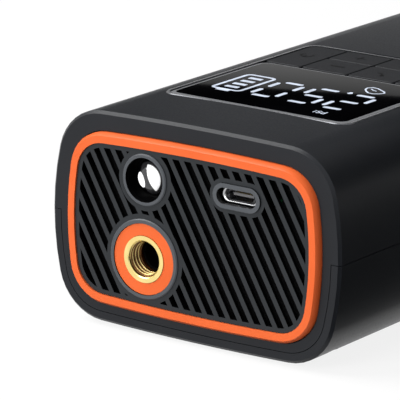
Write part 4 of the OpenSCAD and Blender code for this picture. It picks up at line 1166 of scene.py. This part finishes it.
@dataclass
class ChargePort(Assembly):
    """USB-C receptacle with its contacts and its flared lip.

    Sizes are in millimetres. lip_depth places the lip's front and back, both before the sleeve's
    end, and lip_flat is half of what its short sides keep straight.
    """

    contacts: int = 12
    pitch: float = 0.5
    contact_size: Point2 = (0.26, 3.6)
    contact_start: float = 0.35
    contact_thick: float = 0.04
    sleeve_size: Point2 = (8.4, 2.75)
    lip_size: Point2 = (11.2, 3.6)
    lip_depth: Point2 = (-0.25, -0.05)
    lip_wall: float = 0.12
    lip_flat: float = 0.02
    finishes = {"usb_c_shell": PORT_STEEL, "usb_c_tongue": TONGUE, "usb_board": BOARD}

    def add_pieces(self) -> None:
        """Adds contacts and lip."""
        self.add_contacts()
        self.add_lip()

    def add_contacts(self) -> None:
        """Lays gilt contacts on both sides of the tongue."""
        low, high, mid = box_mm("usb_c_tongue")
        front = low.y + self.contact_start
        gilt = Marking(lambda x, y, h: Vector((x, y, h)))
        width, length = self.contact_size
        start = mid.x - self.pitch * (self.contacts - 1) / 2
        for under in (high.z, low.z - self.contact_thick):
            gilt.low, gilt.high = under, under + self.contact_thick
            for i in range(self.contacts):
                x = start + i * self.pitch
                gilt.area(rectangle((x - width / 2, front), (x + width / 2, front + length)))
        gilt.piece("usb_contacts", BRASS, "case", "brass")

    def add_lip(self) -> None:
        """Builds the steel lip in front of the sleeve that leads the plug in."""
        low, _, mid = box_mm("usb_c_shell")
        rings = list(zip((self.lip_size, self.sleeve_size), self.lip_depth))
        grow = 2 * self.lip_wall
        rings += [((w + grow, h + grow), d) for (w, h), d in rings[::-1]]
        verts: list[Vector] = []
        for (w, h), d in rings:
            ends = (mid.x - w / 2, mid.z - h / 2), (mid.x + w / 2, mid.z + h / 2)
            path = round_box(*ends, h / 2 - self.lip_flat, 8)
            verts += [Vector((x, low.y + d, z)) * MM for x, z in path]
        n = len(verts) // 4
        faces = [
            [k * n + i, k * n + (i + 1) % n, (k + 1) % 4 * n + (i + 1) % n, (k + 1) % 4 * n + i]
            for k in range(4) for i in range(n)
        ]
        ride(mesh_piece("usb_shield_lip", verts, faces, LIP_STEEL, True), "case")


@dataclass
class Readout(Assembly):
    """Display glass and the marks that the display lights.

    Places are in millimetres, x to the right and d behind the ring's face. skew and cut shape the
    tips of a digit's dashes, and lying is how much stouter a lying dash is.
    """

    battery_low: Point2 = (-23.0, 41.9)
    battery_high: Point2 = (-13.9, 60.0)
    battery_line: float = 0.95
    battery_corner: float = 1.4
    knob: Point2 = (4.2, 1.7)
    bar: Point2 = (4.3, 1.7)
    bar_corner: float = 0.25
    bars_d: tuple[float, ...] = (45.3, 49.0, 52.8, 56.6)
    dash: float = 5.5
    stroke: float = 1.35
    skew: float = 0.15
    cut: float = 0.2
    lying: float = 1.15
    digit_left: Point3 = (-10.6, 1.2, 12.7)
    digit_w: float = 8.0
    digit_front: float = 41.8
    digit_back: float = 58.3
    digits: tuple[Stroke, ...] = (Stroke.ZERO, Stroke.FIVE, Stroke.TWO)
    letter_at: Point2 = (18.4, 37.2)
    letter_size: Point2 = (1.05, 2.1)
    letter_gap: float = 0.5
    letter_line: float = 0.3
    letters: tuple[tuple[Point2, ...], ...] = (
        ((0, 0), (0, 1), (0.8, 1), (1, 0.76), (0.8, 0.5), (0, 0.5)),
        ((0, 0.12), (0.5, 0), (1, 0.2), (0.9, 0.45), (0.1, 0.6), (0.05, 0.85), (0.5, 1), (1, 0.88)),
        ((0.3, 0), (0.3, 1)),
    )
    point: tuple[Point2, ...] = (
        (10.5, 58.4), (11.3, 57.9), (12.1, 58.7), (11.5, 59.9), (10.8, 59.9),
    )
    car: tuple[Point2, ...] = (
        (11.6, 67.0), (12.0, 65.3), (13.2, 63.7), (14.8, 62.3), (16.4, 62.1), (18.0, 63.2),
        (18.6, 64.5), (17.9, 65.7), (16.2, 66.8), (14.3, 68.0), (12.6, 68.2),
    )
    car_window: tuple[Point2, ...] = ((13.1, 66.6), (14.4, 65.5), (15.6, 65.2))
    car_lines: Point2 = (0.5, 0.45)
    finishes = {"segment_display": DIFFUSER, "display_glass": GLASS}
    limits = {"display_glass": 5.0}

    def add_pieces(self) -> None:
        """Lays the lit marks: battery, digits, point, unit and car sign."""
        top, front = box_mm("display_glass")[1].z, box_mm("accent_ring")[0].y
        marks = Marking(lambda x, d, h: Vector((x, front + d, top + h)))
        self.battery(marks)
        for x, digit in zip(self.digit_left, self.digits):
            self.digit(marks, x, digit)
        marks.area(self.point)
        self.unit(marks)
        marks.line(self.car, self.car_lines[0], closed=True)
        marks.line(self.car_window, self.car_lines[1])
        marks.piece("display_marks", LIT, "case", "display_block")

    def battery(self, marks: Marking) -> None:
        """Adds the battery sign with four bars.

        Args:
            marks: The marking to add to.
        """
        low, high = self.battery_low, self.battery_high
        marks.line(round_box(low, high, self.battery_corner), self.battery_line, closed=True)
        mid, half = (low[0] + high[0]) / 2, self.knob[0] / 2
        marks.area(rectangle((mid - half, low[1] - self.knob[1]), (mid + half, low[1])))
        half, thick = self.bar[0] / 2, self.bar[1] / 2
        for d in self.bars_d:
            ends = (mid - half, d - thick), (mid + half, d + thick)
            marks.area(round_box(*ends, self.bar_corner, 2))

    def digit(self, marks: Marking, left: float, digit: Stroke) -> None:
        """Adds one digit of short dashes, upright as read from behind.

        Args:
            marks: The marking to add to.
            left: Middle of its left uprights.
            digit: Which segments are lit.
        """
        right, front, back = left + self.digit_w, self.digit_front, self.digit_back
        mid, middle_x = (front + back) / 2, left + self.digit_w / 2
        near, rear = (front + mid) / 2, (mid + back) / 2
        places = {
            "a": (middle_x, front, True),
            "g": (middle_x, mid, True),
            "d": (middle_x, back, True),
            "f": (right, near, False),
            "b": (left, near, False),
            "e": (right, rear, False),
            "c": (left, rear, False),
        }
        half, wide, flat = self.dash / 2, self.stroke / 2, self.lying
        skew, cut = self.skew, self.cut
        tips = (
            (-half, skew), (wide - half, wide), (half - cut, wide),
            (half, -skew), (half - wide, -wide), (cut - half, -wide),
        )
        for letter in digit.value:
            x, d, lies = places[letter]
            marks.area([(x + u, d + v * flat) if lies else (x - v, d + u) for u, v in tips])

    def unit(self, marks: Marking) -> None:
        """Adds the unit of pressure in front of the digits, as read from behind.

        Args:
            marks: The marking to add to.
        """
        (x, d), (width, height) = self.letter_at, self.letter_size
        for path in self.letters:
            marks.line([(x - u * width, d - v * height) for u, v in path], self.letter_line)
            x -= width + self.letter_gap


@dataclass
class Keypad(Assembly):
    """Six keys with their signs, drawn in millimetres from each key's middle."""

    line: float = 0.55
    finishes = {
        "key_power": KEY,
        "key_minus": KEY,
        "key_mode": KEY,
        "key_plus": KEY,
        "key_light": KEY,
        "key_start": KEY,
        "panel_board": BOARD,
        "key_switches": SWITCH,
        "panel_trim": TRIM,
    }

    def add_pieces(self) -> None:
        """Lays a sign on each key."""
        signs = {
            "key_power": self.power,
            "key_minus": self.minus,
            "key_mode": self.mode,
            "key_plus": self.plus,
            "key_light": self.light,
            "key_start": self.start,
        }
        for name, draw in signs.items():
            _, high, mid = box_mm(name)
            marks = Marking(lambda x, d, h, m=mid, t=high.z: Vector((m.x + x, m.y + d, t + h)))
            draw(marks)
            marks.piece(name + "_sign", KEY_MARK, name + "_cap", "key_plastic")

    def power(self, marks: Marking) -> None:
        """Adds the on and off sign."""
        marks.line(arc((-0.5, 1.0), 1.8, 130, 410, 16), self.line)
        marks.line([(-0.5, -1.3), (-0.5, 0.6)], self.line)

    def minus(self, marks: Marking) -> None:
        """Adds the minus sign."""
        marks.line([(-2.1, 0.3), (2.3, 0.3)], self.line * 1.6)

    def mode(self, marks: Marking) -> None:
        """Adds the turning arrow."""
        marks.line(arc((-1.6, -1.4), 2.1, 0, 100, 8), self.line * 1.3)
        marks.area([(-0.4, -1.2), (1.3, -1.2), (0.6, -2.4)])

    def plus(self, marks: Marking) -> None:
        """Adds the plus sign."""
        for path in (((-1.7, 0), (1.7, 0)), ((0, -1.7), (0, -0.28)), ((0, 0.28), (0, 1.7))):
            marks.line(path, self.line)

    def light(self, marks: Marking) -> None:
        """Adds the torch sign, a lens with three rays.

        Args:
            marks: The marking to add to.
        """
        marks.line(arc((0, 0.6), 1.2, 0, 180, 10) + [(-1.2, 0.6)], self.line)
        marks.line([(1.2, 0.6), (-1.2, 0.6)], self.line)
        for angle in (230, 270, 310):
            c, s = math.cos(math.radians(angle)), math.sin(math.radians(angle))
            marks.line([(r * c, 0.2 + r * s) for r in (0.9, 2.1)], self.line * 0.8)

    def start(self, marks: Marking) -> None:
        """Adds the start sign, a rounded triangle."""
        half = [(-1.6, -1.7), (-1.2, -1.9), (1.7, -0.25)]
        marks.area(half + [(x, -d) for x, d in half[::-1]])


@dataclass
class RearPorts(Assembly):
    """Port recess, hinged cover and sockets. In millimetres."""

    contacts_x: tuple[float, ...] = (-3.5, -1.0, 1.0, 3.5)
    contact_size: Point2 = (1.0, 6.5)
    contact_end: float = 0.8
    contact_thick: float = 0.05
    finishes = {
        "rear_panel": SHELL,
        "port_cover": COVER,
        "cover_pin": STEEL,
        "jump_socket": SOCKET_BLUE,
        "jump_contacts": BRASS,
        "usb_a_shell": PORT_STEEL,
        "usb_a_tongue": BLACK,
        "rear_board": BOARD,
        "bus_bars": COPPER,
    }

    def add_pieces(self) -> None:
        """Lays the four gilt contacts under the USB-A tongue."""
        low, high, mid = box_mm("usb_a_tongue")
        thick = self.contact_thick
        gilt = Marking(lambda x, y, h: Vector((x, y, low.z + h)), -thick, thick)
        back, half = high.y - self.contact_end, self.contact_size[0] / 2
        for x in (mid.x + shift for shift in self.contacts_x):
            gilt.area(rectangle((x - half, back - self.contact_size[1]), (x + half, back)))
        gilt.piece("usb_a_contacts", BRASS, "case", "brass")


@dataclass
class PowerPack(Assembly):
    """Battery, main board and what is soldered to it. In millimetres."""

    chip_sizes: tuple[Point2, ...] = ((7.0, 7.0), (5.0, 6.0), (4.0, 3.0), (6.0, 4.0))
    chip_thick: float = 1.2
    chip_corner: float = 0.2
    chips_from: Point2 = (-17.0, 12.0)
    chips_step: Point2 = (8.0, 11.0)
    finishes = {
        "battery_cradle": BLACK,
        "battery_cells": FOIL,
        "main_board": BOARD,
        "power_relay": BLACK,
        "capacitors": CAN,
    }

    def add_pieces(self) -> None:
        """Lays flat chips beside the relay."""
        low, high, _ = box_mm("main_board")
        chips = Marking(lambda x, y, h: Vector((x, y, high.z + h)), 0.0, self.chip_thick)
        for i, (w, l) in enumerate(self.chip_sizes):
            x = high.x + self.chips_from[0] + (i % 2) * self.chips_step[0]
            y = low.y + self.chips_from[1] + i * self.chips_step[1]
            ends = (x - w / 2, y - l / 2), (x + w / 2, y + l / 2)
            chips.area(round_box(*ends, self.chip_corner, 1))
        chips.piece("board_chips", BLACK, "case", "black_plastic")


@dataclass
class Compressor(Assembly):
    """Motor, gears, rod, piston and cylinder."""

    finishes = {
        "pump_frame": ALLOY,
        "pump_pads": FOOT,
        "motor_can": MOTOR_STEEL,
        "motor_endcap": BLACK,
        "drive_pinion": STEEL,
        "crank_bearing": STEEL,
        "crank_gear": NYLON,
        "con_rod": ALLOY,
        "wrist_pin": STEEL,
        "piston": ALLOY,
        "piston_seal": FOOT,
        "pump_cylinder": ALLOY,
        "cylinder_head": ALLOY,
        "head_bolts": SCREW_STEEL,
    }


# ---- Studio ----


def stage_face(
    name: str, corners: Sequence[Point3], material: bpy.types.Material
) -> bpy.types.Object:
    """Makes one flat face of the studio.

    Args:
        name: Its name.
        corners: Its corners, in metres.
        material: Its material.

    Returns:
        The new object.
    """
    mesh = bpy.data.meshes.new(name)
    mesh.from_pydata([Vector(c) for c in corners], [], [tuple(range(len(corners)))])
    mesh.materials.append(material)
    face = add_object(name, mesh)
    return face


def pale_rays(sheet: Sheet) -> Socket:
    """Gives 1 for rays of the camera, of reflections and through glass, 0 for the others.

    Args:
        sheet: The sheet to add to.

    Returns:
        The value.
    """
    rays = sheet.add("ShaderNodeLightPath").outputs
    seen = sheet.calc("MAXIMUM", rays["Is Camera Ray"], rays["Is Glossy Ray"])
    return sheet.calc("MAXIMUM", seen, rays["Is Transmission Ray"])


@dataclass
class Softbox:
    """A soft area lamp."""

    name: str
    place: Point3
    aim: Point3
    size: Point2
    watts: float

    def build(self) -> None:
        """Builds the lamp."""
        data = bpy.data.lights.new(self.name, "AREA")
        data.shape = "RECTANGLE"
        data.size, data.size_y = self.size
        data.energy = self.watts
        lamp = add_object(self.name, data)
        lamp.location = Vector(self.place)
        way = Vector(self.aim) - Vector(self.place)
        lamp.rotation_euler = way.to_track_quat("-Z", "Y").to_euler()
        LOG.info("lamp %s, %.1f W", self.name, self.watts)


@dataclass
class Card:
    """A card of the studio that only reflections show: black to keep them dark, or pale."""

    name: str
    corners: tuple[Point3, ...]
    near: float = 0.0
    far: float = 0.0

    def build(self) -> None:
        """Builds the card, whose level runs from near, at its first edge, to far."""
        material, sheet = material_sheet(self.name)
        level: Value = self.near
        if self.near != self.far:
            level = sheet.add("ShaderNodeAttribute", attribute_name="level").outputs["Fac"]
        sheet.show(sheet.add("ShaderNodeEmission", {"Strength": level}).outputs["Emission"])
        card = stage_face(self.name, self.corners, material)
        levels = card.data.attributes.new("level", "FLOAT", "POINT").data
        for point, value in zip(levels, (self.near, self.near, self.far, self.far)):
            point.value = value
        card.visible_camera = card.visible_diffuse = False
        card.visible_shadow = card.visible_transmission = False


@dataclass
class Studio:
    """White floor, soft lamps, cards and the camera. Places are in metres."""

    lens_mm: float = 330.488
    sensor_mm: float = 36.0
    clip_end: float = 20.0
    place: Point3 = (0.5417231, -0.8538155, 0.296276)
    right: Point3 = (0.8121608, 0.5833334, 0.0108194)
    up: Point3 = (-0.1633881, 0.2096008, 0.9640393)
    back: Point3 = (0.5600886, -0.7847227, 0.2655393)
    shift: Point2 = (-0.00125, 0.00125)
    floor_half: float = 4.0
    floor_glow: float = 0.85
    floor_lit: Rgba = (0.35, 0.35, 0.355, 1.0)
    floor_seen: Rgba = (0.98, 0.98, 0.98, 1.0)
    world_light: Point2 = (0.6, 0.06)
    lamps: tuple[Softbox, ...] = (
        Softbox("lamp_over", (-0.66, -0.42, 1.0), (0.0, 0.0, 0.03), (0.8, 0.8), 13.0),
        Softbox("lamp_front", (-0.12, -1.45, 0.6), (0.0, -0.1, 0.03), (0.7, 0.7), 17.0),
    )
    cards: tuple[Card, ...] = (
        Card("card_floor_dark", (
            (0.05, -0.6, 0.0004), (1.4, -0.6, 0.0004),
            (1.4, 1.4, 0.0004), (0.05, 1.4, 0.0004)), 0.05, 0.05),
        Card("card_back_dark", (
            (-1.6, 1.3, 0.14), (1.6, 1.3, 0.14), (1.6, 1.3, 1.2), (-1.6, 1.3, 1.2))),
        Card("card_back_pale", (
            (-0.4475, 0.5, 0.2276), (-0.2475, 0.5, 0.2081),
            (-0.2475, 0.5, 0.16), (-0.4475, 0.5, 0.16)), 0.16, 1.0),
    )

    def build(self) -> None:
        """Builds the studio."""
        self.floor()
        self.world()
        for piece in self.lamps + self.cards:
            piece.build()
        self.camera()

    def floor(self) -> None:
        """Builds the pale floor, white to the rays that see it and grey to the light."""
        material, sheet = material_sheet("floor_white")
        pale = pale_rays(sheet)
        colour = sheet.mix(pale, self.floor_lit, self.floor_seen)
        body = sheet.shader(Roughness=0.9, Specular_IOR_Level=0.1, Base_Color=colour)
        glow = sheet.add("ShaderNodeEmission", {"Strength": 1.0}).outputs["Emission"]
        share = sheet.calc("MULTIPLY", pale, self.floor_glow)
        sheet.show(sheet.add("ShaderNodeMixShader", {0: share, 1: body, 2: glow}).outputs[0])
        half = self.floor_half
        corners = ((-half, -half, 0.0), (half, -half, 0.0), (half, half, 0.0), (-half, half, 0.0))
        stage_face("studio_floor", corners, material)

    def world(self) -> None:
        """Sets a white surround whose light falls off from left to right."""
        world = bpy.data.worlds.new("studio_world")
        world.use_nodes = True
        sheet = Sheet(world.node_tree, "ShaderNodeOutputWorld")
        around = sheet.add("ShaderNodeTexCoord").outputs["Generated"]
        fall = sheet.reach(sheet.split(around)["X"], -1.0, 1.0, self.world_light)
        white = {"Color": (1.0, 1.0, 1.0, 1.0)}
        light, seen = (
            sheet.add("ShaderNodeBackground", {**white, "Strength": strength}).outputs[0]
            for strength in (fall, 1.0)
        )
        inputs = {0: pale_rays(sheet), 1: light, 2: seen}
        sheet.show(sheet.add("ShaderNodeMixShader", inputs).outputs[0])
        bpy.context.scene.world = world

    def camera(self) -> None:
        """Sets up the camera."""
        data = bpy.data.cameras.new("studio_camera")
        data.lens = self.lens_mm
        data.sensor_width = self.sensor_mm
        data.shift_x, data.shift_y = self.shift
        data.clip_end = self.clip_end
        camera = add_object("studio_camera", data)
        turn = Matrix((self.right, self.up, self.back)).transposed().to_4x4()
        camera.matrix_world = Matrix.Translation(self.place) @ turn
        bpy.context.scene.camera = camera


def main() -> None:
    """Builds every sub-assembly and the studio."""
    logging.basicConfig(level=logging.INFO, format="%(name)s: %(message)s")
    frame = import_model()
    bpy.context.scene.view_settings.view_transform = "Standard"
    kinds = (
        Housing, FrontFace, ShadeSheet, Outlet, Torch, ChargePort, Readout, Keypad, RearPorts,
        PowerPack, Compressor,
    )
    for kind in kinds:
        LOG.info("building %s", kind.__name__)
        kind(frame["nodes"]).build()
    Studio().build()


if __name__ == "__main__":
    main()
